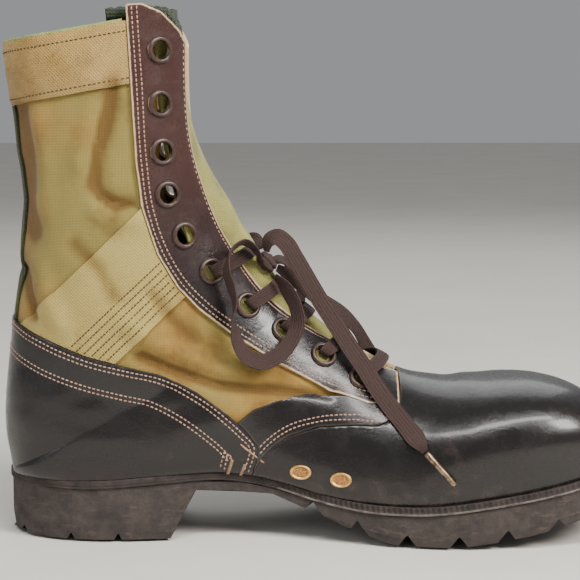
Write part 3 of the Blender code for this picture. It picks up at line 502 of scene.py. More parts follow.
@dataclass(frozen=True)
class Edge:
    """A field from a line in side view: the distance beside it times a sign."""

    line: Table
    sign: int = 1

    def __call__(self, x: Array, y: Array, z: Array) -> Array:
        """The field over points of the surface."""
        return self.sign * beside(self.line, x, z)


# Each is negative where its piece lies: below the collar's top, above the collar band's lower edge, in
# front of the eyestay's rear edge, on the counter, and on the vamp below its top strip.
collar_field = Edge(COLLAR_TOP, -1)
band_field = Edge(COLLAR_BAND_LOW)
stay_rear_field = Edge(EYESTAY_REAR)
counter_field = Edge(COUNTER_TOP, -1)
vamp_field = Edge(VAMP_TOP, -1)


def eyestay_field(x: Array, y: Array, z: Array) -> Array:
    """Negative on an eyestay."""
    top = np.where(x < EYESTAY_TOP_TO, -beside(EYESTAY_TOP, x, z), -9.0)
    return np.maximum.reduce([-off_throat(x, y, z), stay_rear_field(x, y, z), top, x - EYESTAY_END])


def strap_field(x: Array, y: Array, z: Array) -> Array:
    """Negative on the strip along the vamp's top edge."""
    return np.maximum(-beside(STRAP_TOP, x, z), -vamp_field(x, y, z))


def ankle_field(x: Array, y: Array, z: Array) -> Array:
    """Negative on the diagonal webbing."""
    return np.maximum(-beside(ANKLE_STRAP_UPPER, x, z), beside(ANKLE_STRAP_LOWER, x, z))


def lip_field(x: Array, y: Array, z: Array) -> Array:
    """Negative above the line where the leather ends, just over the sole."""
    return feather_height(x) + LIP - z


def backstay_field(x: Array, y: Array, z: Array) -> Array:
    """Negative on the webbing of the back seam."""
    return np.maximum(np.abs(y) - BACKSTAY_HALF, x - BACKSTAY_TO)


def outside(field: Field) -> Field:
    """The field that is negative where the given one is positive."""
    return lambda x, y, z: -field(x, y, z)


def canvas_throat_field(x: Array, y: Array, z: Array) -> Array:
    """Negative on the canvas, whose edge lies under the eyestay, behind the eyelets."""
    return np.minimum(-stay_rear_field(x, y, z) - EYESTAY_LAP, CANVAS_FRONT - x)


SEAM_SNAP = 1e-6
HALVINGS = 24
# Millimetres: how far past its edges a sheet is drawn before it is trimmed, how near a point counts as on
# an edge, what counts as one point, and how far a stitch stays inside its panel's edge
TRIM_MARGIN = 2.0
ON_EDGE = 0.02
WELD = 0.02
STITCH_MARGIN = 0.8


def unit(vectors: Array) -> Array:
    """The vectors at length one."""
    return vectors / np.maximum(np.linalg.norm(vectors, axis=-1, keepdims=True), 1e-9)


def to_metres(spots: Array) -> Array:
    """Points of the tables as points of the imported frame."""
    return (np.asarray(spots, float) - ORIGIN) * MM


def section_share(at: Array, y: Array) -> Array:
    """The s at which the sections reach y beside the centre line, in their front halves.

    Args:
        at: The rows.
        y: The signed distances from the centre line.

    Returns:
        The s values.
    """
    low, high = np.zeros(at.shape), np.full(at.shape, 0.5)
    side = np.where(y < 0, -1, 1)
    for _ in range(HALVINGS):
        middle = (low + high) / 2
        spots = last_point(at, side * middle)
        short = np.abs(spots[..., 1] - centre(spots[..., 0])) < np.abs(y)
        low, high = np.where(short, middle, low), np.where(short, high, middle)
    return side * low


def shifted(line: Table, by: float) -> list[tuple[float, float]]:
    """A side view polyline moved to its right by a distance.

    Args:
        line: The polyline's x and z.
        by: The distance in millimetres.

    Returns:
        The moved polyline.
    """
    spots = np.array(line, float)
    run = unit(np.gradient(spots, axis=0))
    return [tuple(p) for p in spots + by * np.stack([run[:, 1], -run[:, 0]], axis=1)]


def resampled(spots: Array, pitch: float) -> Array:
    """Points at an even pitch along a smooth curve through the given ones.

    Args:
        spots: The curve's points, with any further columns carried along.
        pitch: The distance between points.

    Returns:
        The even points.
    """
    spots = np.asarray(spots, float)
    axes = min(3, spots.shape[1])
    along = np.concatenate([[0], np.cumsum(np.linalg.norm(np.diff(spots[:, :axes], axis=0), axis=1))])
    fine = np.linspace(0, along[-1], max(3, int(along[-1] / pitch) + 1))
    return np.stack([hermite(list(zip(along, column)), fine) for column in spots.T], axis=1)


@dataclass(frozen=True)
class Fold:
    """A soft trough (negative depth) or ridge along a line in side view."""

    line: Table
    depth: float
    width: float
    side: Side

    def height(self, spots: Array) -> Array:
        """How far the fold moves the surface.

        Args:
            spots: Points of the surface.

        Returns:
            The heights in millimetres.
        """
        x, y, z = np.moveaxis(spots, -1, 0)
        nearest = np.minimum.reduce([away for away, _ in run_distances(self.line, x, z, False)])
        off = (y - centre(x)) * self.side.value
        return self.depth * np.exp(-((nearest / self.width) ** 2)) / (1 + np.exp(-off / 3))


# A row is a fold's line, depth and width.
FOLD_TABLE = {
    Side.MEDIAL: (
        (((12, 216), (16, 195), (15, 172), (18, 156)), -3.2, 5.2),
        (((22, 214), (26, 190), (25, 168)), 1.8, 5.0),
        (((61, 229), (57, 212), (52, 196), (50, 180)), -2.8, 3.6),
        (((50, 226), (47, 208), (43, 190)), 1.8, 4.5),
        (((54, 175), (61, 170), (69, 171)), -3.5, 3.0),
        (((50, 167), (60, 162), (70, 163)), 2.3, 4.0),
        (((12, 136), (15, 124), (19, 113)), -3.1, 3.0),
        (((22, 138), (26, 124), (33, 110)), 1.9, 4.5),
        (((66, 110), (84, 99), (106, 89), (128, 84)), 2.6, 5.0),
        (((72, 95), (90, 87), (112, 80), (140, 77), (166, 73.5)), -3.0, 3.0),
        (((78, 126), (88, 113), (100, 102)), -1.8, 4.0),
        (((40, 150), (52, 139), (60, 124)), -1.6, 4.0),
        (((229, 80), (232, 66), (229, 52)), -0.15, 7.0),
        (((239, 82), (241, 68), (238, 56)), 0.3, 7.0),
        (((20, 88), (50, 76), (84, 66)), -0.6, 6.0),
        (((16, 60), (40, 52), (70, 50)), 0.6, 7.0),
    ),
    Side.LATERAL: (
        (((11, 212), (15, 190), (14, 170)), -2.8, 4.5),
        (((58, 226), (53, 204), (55, 184)), -3.0, 4.0),
        (((30, 205), (34, 188), (32, 170)), 1.9, 5.0),
        (((46, 178), (56, 170), (70, 168)), -3.1, 3.5),
        (((14, 138), (20, 124), (30, 112)), -2.6, 3.6),
        (((64, 112), (86, 98), (110, 88), (132, 83)), 2.4, 5.0),
        (((70, 97), (92, 87), (116, 79), (150, 76)), -2.6, 3.2),
        (((228, 80), (231, 66), (227, 50)), -0.5, 6.0),
        (((239, 82), (240, 68), (236, 54)), 0.5, 6.0),
        (((206, 60), (224, 50), (238, 44)), -0.7, 4.0),
    ),
}
FOLDS = [Fold(*row, side) for side, rows in FOLD_TABLE.items() for row in rows]


def stay_rear_distance(x: Array, z: Array) -> Array:
    """How far a place lies behind the eyestay's rear edge; large on the vamp, which it doesn't hold."""
    return np.where(x > 203, 30.0, beside(EYESTAY_REAR, x, z))


def relief(spots: Array) -> Array:
    """The height of the folds and of the slow waves of a worn upper.

    Args:
        spots: Points of the surface.

    Returns:
        The heights in millimetres.
    """
    x, y, z = np.moveaxis(spots, -1, 0)
    waves = 0.35 * np.sin(x / 9 + z / 17 + y / 30) * np.sin(z / 13 - x / 31)
    waves += 0.18 * np.sin(x / 5.1 - z / 7.3) * np.sin(z / 6.1 + y / 9)
    fade = np.clip((z - feather_height(x) - 4) / 16, 0, 1) * np.clip((300 - x) / 40, 0, 1)
    firm = np.where((x > 200) | (z < 70), 0.35, 1.0)
    edge = np.clip(np.abs(beside(COLLAR_TOP, x, z)) / 10, 0.25, 1)
    throat = 1 / (1 + np.exp(-(stay_rear_distance(x, z) - 4) / 2.5))
    return (waves * firm + sum(fold.height(spots) for fold in FOLDS)) * fade * edge * (0.15 + 0.85 * throat)


def trim(bm: BMesh, edge: Field) -> None:
    """Cuts a sheet, drawn flat as rows and s, where the field is zero, and keeps its negative side.

    Args:
        bm: The sheet, whose vertices hold the row and s as their x and y.
        edge: The field over the surface's points.
    """
    verts = list(bm.verts)
    flat = np.array([v.co[:2] for v in verts])
    amounts = edge(*np.moveaxis(last_point(flat[:, 0], flat[:, 1]), -1, 0))
    amounts = np.where(np.abs(amounts) < ON_EDGE, 0.0, amounts)
    value = dict(zip(verts, amounts.tolist()))
    for line in list(bm.edges):
        a, b = line.verts
        if value[a] * value[b] < 0:
            _, spot = bmesh.utils.edge_split(line, a, value[a] / (value[a] - value[b]))
            value[spot] = 0.0
    for face in list(bm.faces):
        amounts = [value[v] for v in face.verts]
        if min(amounts) < 0 < max(amounts):
            on = [v for v in face.verts if value[v] == 0.0]
            for a, b in zip(on, on[1:] + on[:1]):
                if a is not b and not any(b in e.verts for e in a.link_edges):
                    bmesh.utils.face_split(face, a, b)
                    break
    doomed = [f for f in bm.faces if max(value[v] for v in f.verts) > 0]
    bmesh.ops.delete(bm, geom=doomed, context="FACES")


@dataclass(frozen=True)
class Span:
    """The part of the surface that a sheet is drawn on, and how finely."""

    rows: tuple[float, float] = (0.0, float(LAST_ROW))
    turn: tuple[float, float] = (-1.0, 1.0)
    row_step: float = 0.14
    turn_step: float = 0.0125


def fine_sheet(span: Span, offset: float, fields: Sequence[Field]) -> BMesh:
    """The boot's surface inside the fields, with its folds.

    Args:
        span: Where and how finely the surface is drawn.
        offset: Millimetres outside the last.
        fields: The panel's edges; the surface stays where all are negative.

    Returns:
        The sheet in metres, with the fold's height and the edges' field at each vertex.
    """
    at = np.linspace(*span.rows, round((span.rows[1] - span.rows[0]) / span.row_step) + 1)
    turn = np.linspace(*span.turn, round((span.turn[1] - span.turn[0]) / span.turn_step) + 1)
    at, turn = np.meshgrid(at, turn, indexing="ij")
    x, y, z = np.moveaxis(last_point(at, turn), -1, 0)
    amount = np.maximum.reduce([edge(x, y, z) for edge in fields])
    corners = [amount[:-1, :-1], amount[1:, :-1], amount[1:, 1:], amount[:-1, 1:]]
    kept = np.minimum.reduce(corners) < TRIM_MARGIN
    used = np.zeros(at.shape, bool)
    for i, j in ((0, 0), (1, 0), (1, 1), (0, 1)):
        used[i:at.shape[0] - 1 + i, j:at.shape[1] - 1 + j] |= kept
    bm = bmesh.new()
    for name in ("hollow", "edge"):
        bm.verts.layers.float.new(name)
    verts = {}
    for key in zip(*(n.tolist() for n in np.nonzero(used))):
        verts[key] = bm.verts.new((at[key], turn[key], 0))
    for i, j in zip(*(n.tolist() for n in np.nonzero(kept))):
        bm.faces.new((verts[i, j], verts[i + 1, j], verts[i + 1, j + 1], verts[i, j + 1]))
    for edge in fields:
        trim(bm, edge)
    rows, turns = np.array([v.co[:2] for v in bm.verts]).T
    spots = shown_point(rows, turns)
    rise = relief(spots)
    spots = spots + (offset + rise)[:, None] * last_normal(rows, turns)
    seam = (np.abs(turns) > 1 - SEAM_SNAP) & (rows <= HEEL_ROW + SEAM_SNAP) | (rows > LAST_ROW - SEAM_SNAP)
    spots[seam, 1] = centre(spots[seam, 0])
    inner = np.maximum.reduce([edge(*last_point(rows, turns).T) for edge in fields])
    # The fold height kept as hollow also drives the cloth's painted shade in fold troughs.
    hollow, border = (bm.verts.layers.float[name] for name in ("hollow", "edge"))
    values = zip(bm.verts, to_metres(spots).tolist(), rise.tolist(), inner.tolist())
    for vert, spot, height, margin in values:
        vert.co, vert[hollow], vert[border] = spot, height, margin
    bmesh.ops.remove_doubles(bm, verts=bm.verts, dist=WELD * MM)
    bmesh.ops.recalc_face_normals(bm, faces=bm.faces)
    return bm


def eyelet_seat(x: float, z: float, side: Side, offset: float) -> tuple[Array, Array]:
    """The point over the surface that shows at x and z, and the outward direction there.

    Args:
        x: The place along the boot.
        z: The height.
        side: The side of the boot.
        offset: Millimetres outside the last.

    Returns:
        The point in the tables' millimetres and the direction.
    """
    at, s = on_side(x, z, side.value)
    out = last_normal(at, s)[0]
    return shown_point(at, s)[0] + offset * out, out


def hole_field(x: float, z: float, side: Side, radius: float) -> Field:
    """Negative outside a round hole square to the surface.

    Args:
        x: The hole's place along the boot.
        z: Its height.
        side: The side of the boot.
        radius: The hole's radius.

    Returns:
        The field.
    """
    middle, out = eyelet_seat(x, z, side, 0.0)

    def edge(px: Array, py: Array, pz: Array) -> Array:
        """Negative outside the hole."""
        away = np.stack([px, py, pz], axis=-1) - middle
        flat = away - np.sum(away * out, axis=-1, keepdims=True) * out
        return radius - np.linalg.norm(flat, axis=-1)

    return edge


@dataclass
class Piece:
    """A piece of the visual model, tied to the CAD nodes it stands for."""

    name: str
    nodes: tuple[str, ...]
    slot: str

    def place(self, mesh: Mesh, finishes: Sequence[Finishes], marks: Sequence[int] = ()) -> Thing:
        """Puts a finished mesh into the scene.

        Args:
            mesh: The mesh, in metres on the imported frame.
            finishes: Its finishes, in slot order.
            marks: Each face's finish, where there is more than one.

        Returns:
            The object.
        """
        made = bpy.data.objects.new(self.name, mesh)
        bpy.context.scene.collection.objects.link(made)
        for finish in finishes:
            mesh.materials.append(paint(finish))
        for face, mark in zip(mesh.polygons, marks):
            face.material_index = mark
        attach(made, "root")
        if self.nodes:
            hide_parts(*self.nodes)
        return made


def tube_faces(rings: int, sides: int, capped: bool = True) -> list[tuple[int, ...]]:
    """The faces of a tube whose points are given ring by ring.

    Args:
        rings: How many rings it has.
        sides: How many points a ring has.
        capped: Whether its two ends are closed.

    Returns:
        The faces.
    """
    last = (rings - 1) * sides
    faces = [
        (i + j, i + (j + 1) % sides, i + sides + (j + 1) % sides, i + sides + j)
        for i in range(0, last, sides) for j in range(sides)
    ]
    return faces + [tuple(range(sides - 1, -1, -1)), tuple(range(last, last + sides))] * capped


def shell_of(name: str, spots: Sequence, faces: Sequence[tuple[int, ...]], angle: float = 180.0) -> Mesh:
    """A smooth mesh from points and faces.

    Args:
        name: The mesh's name.
        spots: The points, in the tables' millimetres.
        faces: The faces.
        angle: The least angle in degrees that stays sharp.

    Returns:
        The mesh.
    """
    mesh = bpy.data.meshes.new(name)
    mesh.from_pydata(to_metres(np.array(spots)).tolist(), [], faces)
    mesh.validate()
    mesh.shade_smooth()
    if angle < 180.0:
        mesh.set_sharp_from_angle(angle=math.radians(angle))
    return mesh


def mesh_of(bm: BMesh, name: str, angle: float = 40.0) -> Mesh:
    """A mesh from a bmesh, shaded smooth with its sharp edges kept.

    Args:
        bm: The bmesh, which is freed.
        name: The mesh's name.
        angle: The least angle in degrees that stays sharp.

    Returns:
        The mesh.
    """
    mesh = bpy.data.meshes.new(name)
    bm.to_mesh(mesh)
    bm.free()
    mesh.shade_smooth()
    mesh.set_sharp_from_angle(angle=math.radians(angle))
    return mesh


def thickened(bm: BMesh, name: str, thickness: float, outwards: bool, bevel: float) -> Mesh:
    """A sheet with its thickness and softened cut edges; the rim takes the second material.

    Args:
        bm: The sheet, which is freed.
        name: The mesh's name.
        thickness: The thickness in millimetres.
        outwards: Whether it grows to the outer side.
        bevel: The radius of the cut edges.

    Returns:
        The mesh.
    """
    mesh = bpy.data.meshes.new(name)
    bm.to_mesh(mesh)
    bm.free()
    mesh.shade_smooth()
    spare = bpy.data.objects.new(name + "_spare", mesh)
    bpy.context.scene.collection.objects.link(spare)
    for _ in range(2):
        mesh.materials.append(None)
    shell = spare.modifiers.new("Thickness", "SOLIDIFY")
    shell.thickness = thickness * MM
    shell.offset = 1 if outwards else -1
    shell.use_even_offset = False
    shell.material_offset_rim = 1
    soft = spare.modifiers.new("Edges", "BEVEL")
    soft.width = bevel * MM
    soft.segments = 2
    soft.limit_method = "ANGLE"
    soft.angle_limit = math.radians(55)
    bpy.context.view_layer.update()
    solid = bpy.data.meshes.new_from_object(spare.evaluated_get(bpy.context.evaluated_depsgraph_get()))
    bpy.data.objects.remove(spare)
    bpy.data.meshes.remove(mesh)
    solid.name = name
    solid.materials.clear()
    solid.shade_smooth()
    solid.set_sharp_from_angle(angle=math.radians(50))
    return solid


def linear(red: int, green: int, blue: int) -> Colour:
    """A colour seen on screen, 0 to 255 a channel, as the shader wants it."""
    return tuple(((c / 255 + 0.055) / 1.055) ** 2.4 if c > 10 else c / 3294.6 for c in (red, green, blue))


class Paint:
    """A procedural node material under construction. A length is in metres, a scale in features a metre."""

    def __init__(self, name: str, roughness: float, metallic: float = 0.0) -> None:
        """Starts from the Principled shader.

        Args:
            name: The material's name.
            roughness: How rough it is, 0 to 1.
            metallic: How metallic it is, 0 to 1.
        """
        self.material = bpy.data.materials.new(name)
        self.material.use_nodes = True
        self.tree = self.material.node_tree
        self.shader = self.tree.nodes["Principled BSDF"]
        self.feed(self.shader, {"Roughness": roughness, "Metallic": metallic})
        self.spot = self.node("TexCoord", {}).outputs["Object"]

    def feed(self, node: bpy.types.Node, inputs: dict) -> None:
        """Sets a node's inputs.

        Args:
            node: The node.
            inputs: Each input's name or number, with its value or the output that it takes.
        """
        for name, value in inputs.items():
            if isinstance(value, Socket):
                self.tree.links.new(value, node.inputs[name])
            else:
                node.inputs[name].default_value = value

    def node(self, kind: str, inputs: dict) -> bpy.types.Node:
        """Adds a shader node of a kind and sets its inputs."""
        node = self.tree.nodes.new("ShaderNode" + kind)
        self.feed(node, inputs)
        return node

    def stretched(self, scale: Colour, turn: Colour = (0, 0, 0)) -> Socket:
        """The object's own coordinates, scaled and turned."""
        node = self.node("Mapping", {"Scale": scale, "Rotation": turn, "Vector": self.spot})
        return node.outputs["Vector"]

    def noise(
        self, scale: float, detail: float = 4, rough: float = 0.55, where: Socket | None = None
    ) -> Socket:
        """A noise of a scale."""
        inputs = {"Scale": scale, "Detail": detail, "Roughness": rough, "Vector": where or self.spot}
        return self.node("TexNoise", inputs).outputs["Fac"]

    def bands(self, pitch: float, where: Socket, axis: str, warp: float) -> Socket:
        """Soft bands at a pitch, square to an axis.

        Args:
            pitch: The distance from band to band.
            where: The coordinates.
            axis: The axis that the bands are square to.
            warp: How far they waver.

        Returns:
            The bands' height, 0 to 1.
        """
        inputs = {"Scale": 2 * math.pi / (20 * pitch), "Distortion": warp, "Detail Scale": 2.0}
        node = self.node("TexWave", {**inputs, "Vector": where})
        node.bands_direction = axis
        return node.outputs["Fac"]

    def height(self) -> Socket:
        """The height above the floor."""
        return self.node("SeparateXYZ", {"Vector": self.spot}).outputs["Z"]

    def attribute(self, name: str) -> Socket:
        """A number kept on the mesh's vertices."""
        node = self.tree.nodes.new("ShaderNodeAttribute")
        node.attribute_name = name
        return node.outputs["Fac"]

    def spread(
        self, value: Socket, low: float, high: float, to_low: float = 0.0, to_high: float = 1.0
    ) -> Socket:
        """A value brought from one range to another, and held inside it."""
        ends = {"From Min": low, "From Max": high, "To Min": to_low, "To Max": to_high}
        return self.node("MapRange", {**ends, "Value": value}).outputs["Result"]

    def times(self, a: Socket, b: Socket | float, kind: str = "MULTIPLY") -> Socket:
        """Two values through one sum, a product unless another kind is named."""
        node = self.node("Math", {0: a, 1: b})
        node.operation = kind
        return node.outputs["Value"]

    def between(self, share: Socket, low: Colour | Socket, high: Colour) -> Socket:
        """A colour between two.

        Args:
            share: The share of the second, from 0 to 1.
            low: The first colour.
            high: The second colour.

        Returns:
            The colour.
        """
        node = self.node("Mix", {"Factor": share})
        node.data_type = "RGBA"
        for name, colour in (("A", low), ("B", high)):
            number = [n.name == name and n.type == "RGBA" for n in node.inputs].index(True)
            self.feed(node, {number: (*colour, 1) if isinstance(colour, tuple) else colour})
        return [n for n in node.outputs if n.type == "RGBA"][0]

    def finish(self, colour: Socket, height: Socket, depth: float) -> bpy.types.Material:
        """Joins the colour and the bump to the shader.

        Args:
            colour: The base colour.
            height: The bump's height, 0 to 1.
            depth: The bump's depth.

        Returns:
            The material.
        """
        bump = self.node("Bump", {"Distance": depth, "Height": height})
        self.feed(self.shader, {"Normal": bump.outputs["Normal"], "Base Color": colour})
        return self.material


@dataclass(frozen=True)
class Cloth:
    """Woven cloth: canvas, twill or webbing, with painted shade in its fold troughs and painted lit patches.
    """

    name: str
    light: Colour
    dark: Colour
    # The stain colour is both the colour of real stains and the painted shade in the troughs of folds and
    # pleats.
    stain_and_crease_shade: Colour
    # The colour of the slow-noise olive patches, painted light that stands in for lit zones of the cloth.
    painted_light_patch: Colour = (0.36, 0.33, 0.15)
    pitch: float = 0.0011
    slant: float = 0.0
    depth: float = 0.0002
    stain_from: float = 0.55

    def paint(self) -> bpy.types.Material:
        """Builds the node material.

        Returns:
            The material.
        """
        paint = Paint(self.name, 0.92)
        paint.feed(paint.shader, {"Specular IOR Level": 0.18, "Sheen Weight": 0.15})
        mottled = paint.spread(paint.noise(70, 6, 0.65), 0.32, 0.68)
        colour = paint.between(mottled, self.dark, self.light)
        # Painted light: slow-noise patches of an olive colour stand in for lit zones of the cloth.
        painted_light_patch = paint.spread(paint.noise(17, 3, 0.5), 0.42, 0.6, 0, 0.8)
        colour = paint.between(painted_light_patch, colour, self.painted_light_patch)
        stained = paint.spread(paint.noise(28, 5, 0.6), self.stain_from, self.stain_from + 0.16, 0, 0.75)
        colour = paint.between(stained, colour, self.stain_and_crease_shade)
        # Painted shade: where the stored fold height (hollow) is below zero, in the troughs of folds and
        # pleats, the colour darkens toward the stain colour.
        hollow = paint.spread(paint.attribute("hollow"), -0.15, -1.7, 0, 0.85)
        colour = paint.between(hollow, colour, self.stain_and_crease_shade)
        turned = paint.stretched((1, 1, 1), (0, self.slant, 0))
        warp = paint.bands(self.pitch, turned, "X", 0.6)
        weft = paint.bands(self.pitch * 1.1, turned, "Z", 0.6)
        weave = paint.times(warp, weft)
        flecks = paint.spread(weave, 0.0, 0.9, 0.4, 0)
        colour = paint.between(flecks, colour, self.dark)
        height = paint.times(weave, paint.noise(1500, 2), "ADD")
        return paint.finish(colour, height, self.depth)


@dataclass(frozen=True)
class Leather:
    """Polished, scuffed leather, dusty near the sole."""

    name: str
    low: Colour
    high: Colour
    scuff: Colour
    low_z: float = 0.07
    high_z: float = 0.11
    gloss: float = 0.3
    scuffed: float = 0.6
    edge: Colour = (0.05, 0.04, 0.035)
    edge_share: float = 0.5

    def paint(self) -> bpy.types.Material:
        """Builds the node material.

        Returns:
            The material.
        """
        paint = Paint(self.name, self.gloss)
        uneven = paint.spread(paint.noise(45, 4), 0.2, 0.8, -0.012, 0.012)
        height = paint.times(paint.height(), uneven, "ADD")
        colour = paint.between(paint.spread(height, self.low_z, self.high_z), self.low, self.high)
        blotch = paint.spread(paint.noise(55, 6, 0.7), self.scuffed, self.scuffed + 0.16, 0, 0.8)
        colour = paint.between(blotch, colour, self.scuff)
        scratch = paint.noise(60, 8, 0.75, paint.stretched((1, 1, 5), (0, 0.5, 0)))
        colour = paint.between(paint.spread(scratch, 0.6, 0.72, 0, 0.6), colour, self.scuff)
        low = paint.spread(paint.height(), 0.038, 0.024, 0, 0.5)
        dust = paint.times(low, paint.spread(paint.noise(160, 6), 0.45, 0.75))
        colour = paint.between(dust, colour, linear(84, 68, 58))
        # Near the cut edges the colour goes to the edge colour: wear on the black leather, and on the
        # eyestays a cream that is partly the raw edge and partly a painted highlight.
        ragged = paint.spread(paint.noise(500, 3), 0.2, 0.8, -0.25, 0.25)
        edge_wear_and_highlight = paint.times(paint.attribute("edge"), ragged, "ADD")
        colour = paint.between(paint.spread(edge_wear_and_highlight, -0.95, -0.55, 0, self.edge_share), colour, self.edge)
        rough = paint.spread(paint.noise(90, 7, 0.7), 0.3, 0.75, self.gloss - 0.06, self.gloss + 0.2)
        shine = {"Coat Weight": 0.3, "Specular IOR Level": 0.4, "Coat Roughness": 0.12}
        paint.feed(paint.shader, {"Roughness": rough, **shine})
        grain = paint.times(paint.noise(1300, 3, 0.6), paint.noise(260, 2, 0.5), "ADD")
        return paint.finish(colour, grain, 0.00012)


@dataclass(frozen=True)
class Plain:
    """Rubber, thread, metal or enamel, with a mottled colour and a fine bump."""

    name: str
    light: Colour
    dark: Colour
    roughness: float
    metallic: float = 0.0
    scale: float = 220.0
    depth: float = 0.0001

    def paint(self) -> bpy.types.Material:
        """Builds the node material.

        Returns:
            The material.
        """
        paint = Paint(self.name, self.roughness, self.metallic)
        mottled = paint.spread(paint.noise(self.scale, 6, 0.65), 0.35, 0.65)
        colour = paint.between(mottled, self.dark, self.light)
        return paint.finish(colour, paint.noise(self.scale * 5, 3), self.depth)


@dataclass(frozen=True)
class Rubber:
    """The sole's rubber, brown with streaks of dust."""

    name: str
    light: Colour
    dark: Colour

    def paint(self) -> bpy.types.Material:
        """Builds the node material.

        Returns:
            The material.
        """
        paint = Paint(self.name, 0.85)
        base = paint.between(paint.spread(paint.noise(120, 7, 0.7), 0.35, 0.65), self.dark, self.light)
        streak = paint.noise(80, 6, 0.7, paint.stretched((1, 1, 4)))
        colour = paint.between(paint.spread(streak, 0.56, 0.74, 0, 0.6), base, linear(104, 88, 80))
        return paint.finish(colour, paint.times(paint.noise(700, 4), paint.noise(150, 4), "ADD"), 0.0003)


class Finishes(Enum):
    """The boot's materials."""

    CANVAS = Cloth(
        "canvas", linear(176, 144, 78), linear(136, 103, 50), linear(86, 60, 28),
        linear(142, 139, 80), 0.0007,
    )
    TONGUE = Cloth(
        "tongue_canvas", linear(176, 168, 104), linear(122, 118, 66), linear(70, 66, 36),
        linear(150, 146, 86), 0.0009,
    )
    # Painted shade: the tongue's top and its bound edge are the tongue's canvas, coloured dark green for the
    # shade they lie in.
    FUZZ = Cloth(
        "tongue_binding_painted_shade", linear(66, 76, 54), linear(38, 48, 34), linear(26, 34, 24),
        linear(50, 60, 42), 0.0016, 0, 0.0008,
    )
    BAND = Cloth(
        "collar_webbing", linear(192, 160, 100), linear(152, 120, 66), linear(108, 82, 44),
        linear(174, 148, 96), 0.0012, 0.8, 0.00025,
    )
    BAND_EDGE = Cloth("collar_edge", linear(164, 176, 106), linear(124, 134, 74), linear(84, 88, 48))
    STRAP = Cloth(
        "ankle_webbing", linear(194, 174, 106), linear(154, 131, 72), linear(106, 78, 38),
        linear(184, 168, 102), 0.0011, -0.75, 0.00025,
    )
    BACKSTAY = Cloth(
        "backstay_webbing", linear(98, 98, 58), linear(58, 60, 36), linear(38, 38, 24),
        linear(84, 86, 52), 0.0018, 0, 0.0004,
    )
    BLACK = Leather(
        "black_leather", linear(24, 20, 20), linear(20, 17, 18), linear(60, 46, 42),
        gloss=0.2, scuffed=0.62,
    )
    # The eyestays' cream edge colour is partly the raw edge's colour and partly a painted highlight.
    STAY = Leather(
        "brown_leather", linear(32, 27, 28), linear(62, 40, 36), linear(84, 60, 54), 0.12, 0.19, 0.2, 0.62,
        linear(208, 178, 140), 0.85,
    )
    # Partly painted highlight: the cut edges are cream, the raw leather's own colour made brighter for the
    # light that catches them.
    CUT_EDGE = Plain("cream_cut_edge_with_highlight", linear(214, 196, 156), linear(150, 122, 88), 0.9, scale=500)
    DARK_EDGE = Plain("dark_cut_edge", linear(78, 62, 54), linear(36, 30, 28), 0.8, scale=500)
    THREAD = Plain("pink_tan_thread", linear(206, 168, 146), linear(150, 112, 92), 0.8, scale=900)
    DARK_THREAD = Plain("dark_thread", linear(92, 74, 46), linear(60, 48, 32), 0.9, scale=900)
    PALE_THREAD = Plain("tan_thread", linear(204, 164, 132), linear(150, 112, 84), 0.9, scale=900)
    ENAMEL = Plain("enamel", linear(82, 60, 54), linear(44, 33, 32), 0.32, 0.2, 600, 0.00005)
    METAL = Plain("bare_metal", linear(206, 192, 176), linear(120, 104, 92), 0.28, 1.0, 800, 0.00004)
    BRASS = Plain("brass", linear(244, 200, 128), linear(206, 152, 84), 0.34, 0.85, 500, 0.00005)
    MESH = Plain("vent_mesh", linear(226, 170, 104), linear(120, 78, 42), 0.5, 0.7, 1800, 0.0004)
    AGLET = Plain("aglet", linear(176, 150, 122), linear(70, 54, 46), 0.3, 0.8, 400, 0.00005)
    LACE = Plain("lace", linear(74, 52, 47), linear(52, 36, 33), 0.8, scale=2600, depth=0.0003)
    RUBBER = Rubber("rubber", linear(70, 61, 57), linear(45, 39, 37))
    WELT = Rubber("welt_rubber", linear(60, 50, 46), linear(34, 28, 27))
    # Painted highlight: the lip under the forefoot ribs is paler rubber that stands in for the highlight on
    # its rounded edge.
    LIP = Plain("lip_painted_highlight", linear(112, 100, 92), linear(50, 43, 40), 0.4, scale=160)
    BOARD = Plain("insole_board", linear(140, 118, 82), linear(96, 78, 54), 0.9, scale=90)
    FLOOR = Plain("floor", linear(226, 222, 214), linear(220, 216, 208), 0.8, scale=6, depth=0.00002)


PAINTS: dict[Finishes, bpy.types.Material] = {}


def paint(finish: Finishes) -> bpy.types.Material:
    """The material of a finish, made once.

    Args:
        finish: The finish.

    Returns:
        The material.
    """
    if finish not in PAINTS:
        PAINTS[finish] = finish.value.paint()
    return PAINTS[finish]


@dataclass
class Panel(Piece):
    """A layer of the upper, cut from the boot's own surface."""

    fields: tuple[Field, ...]
    finish: Finishes
    rim: Finishes
    offset: float = GAP
    thickness: float = LEATHER
    outwards: bool = True
    span: Span = Span()
    bevel: float = 0.3

    def build(self) -> Thing:
        """Builds and dresses the panel.

        Returns:
            The object.
        """
        sheet = fine_sheet(self.span, self.offset, self.fields)
        mesh = thickened(sheet, self.name, self.thickness, self.outwards, self.bevel)
        return self.place(mesh, (self.finish, self.rim))


def into_welt(x: Array, y: Array, z: Array) -> Array:
    """Negative above a line just inside the welt, where the leather runs down behind it."""
    return feather_height(x) - INTO_WELT - z


def half(side: Side) -> Field:
    """Negative on one side of the boot."""
    return lambda x, y, z: GAP - side.value * (y - centre(x))


def sewn(*edges: Field) -> tuple[Field, ...]:
    """The fields whose edges lie a little further inside, so that layers side by side stay apart."""
    return tuple(lambda x, y, z, edge=edge: edge(x, y, z) + GAP / 2 for edge in edges)


SIDE_SPANS = {Side.MEDIAL: (-1.0, 0.0), Side.LATERAL: (0.0, 1.0)}


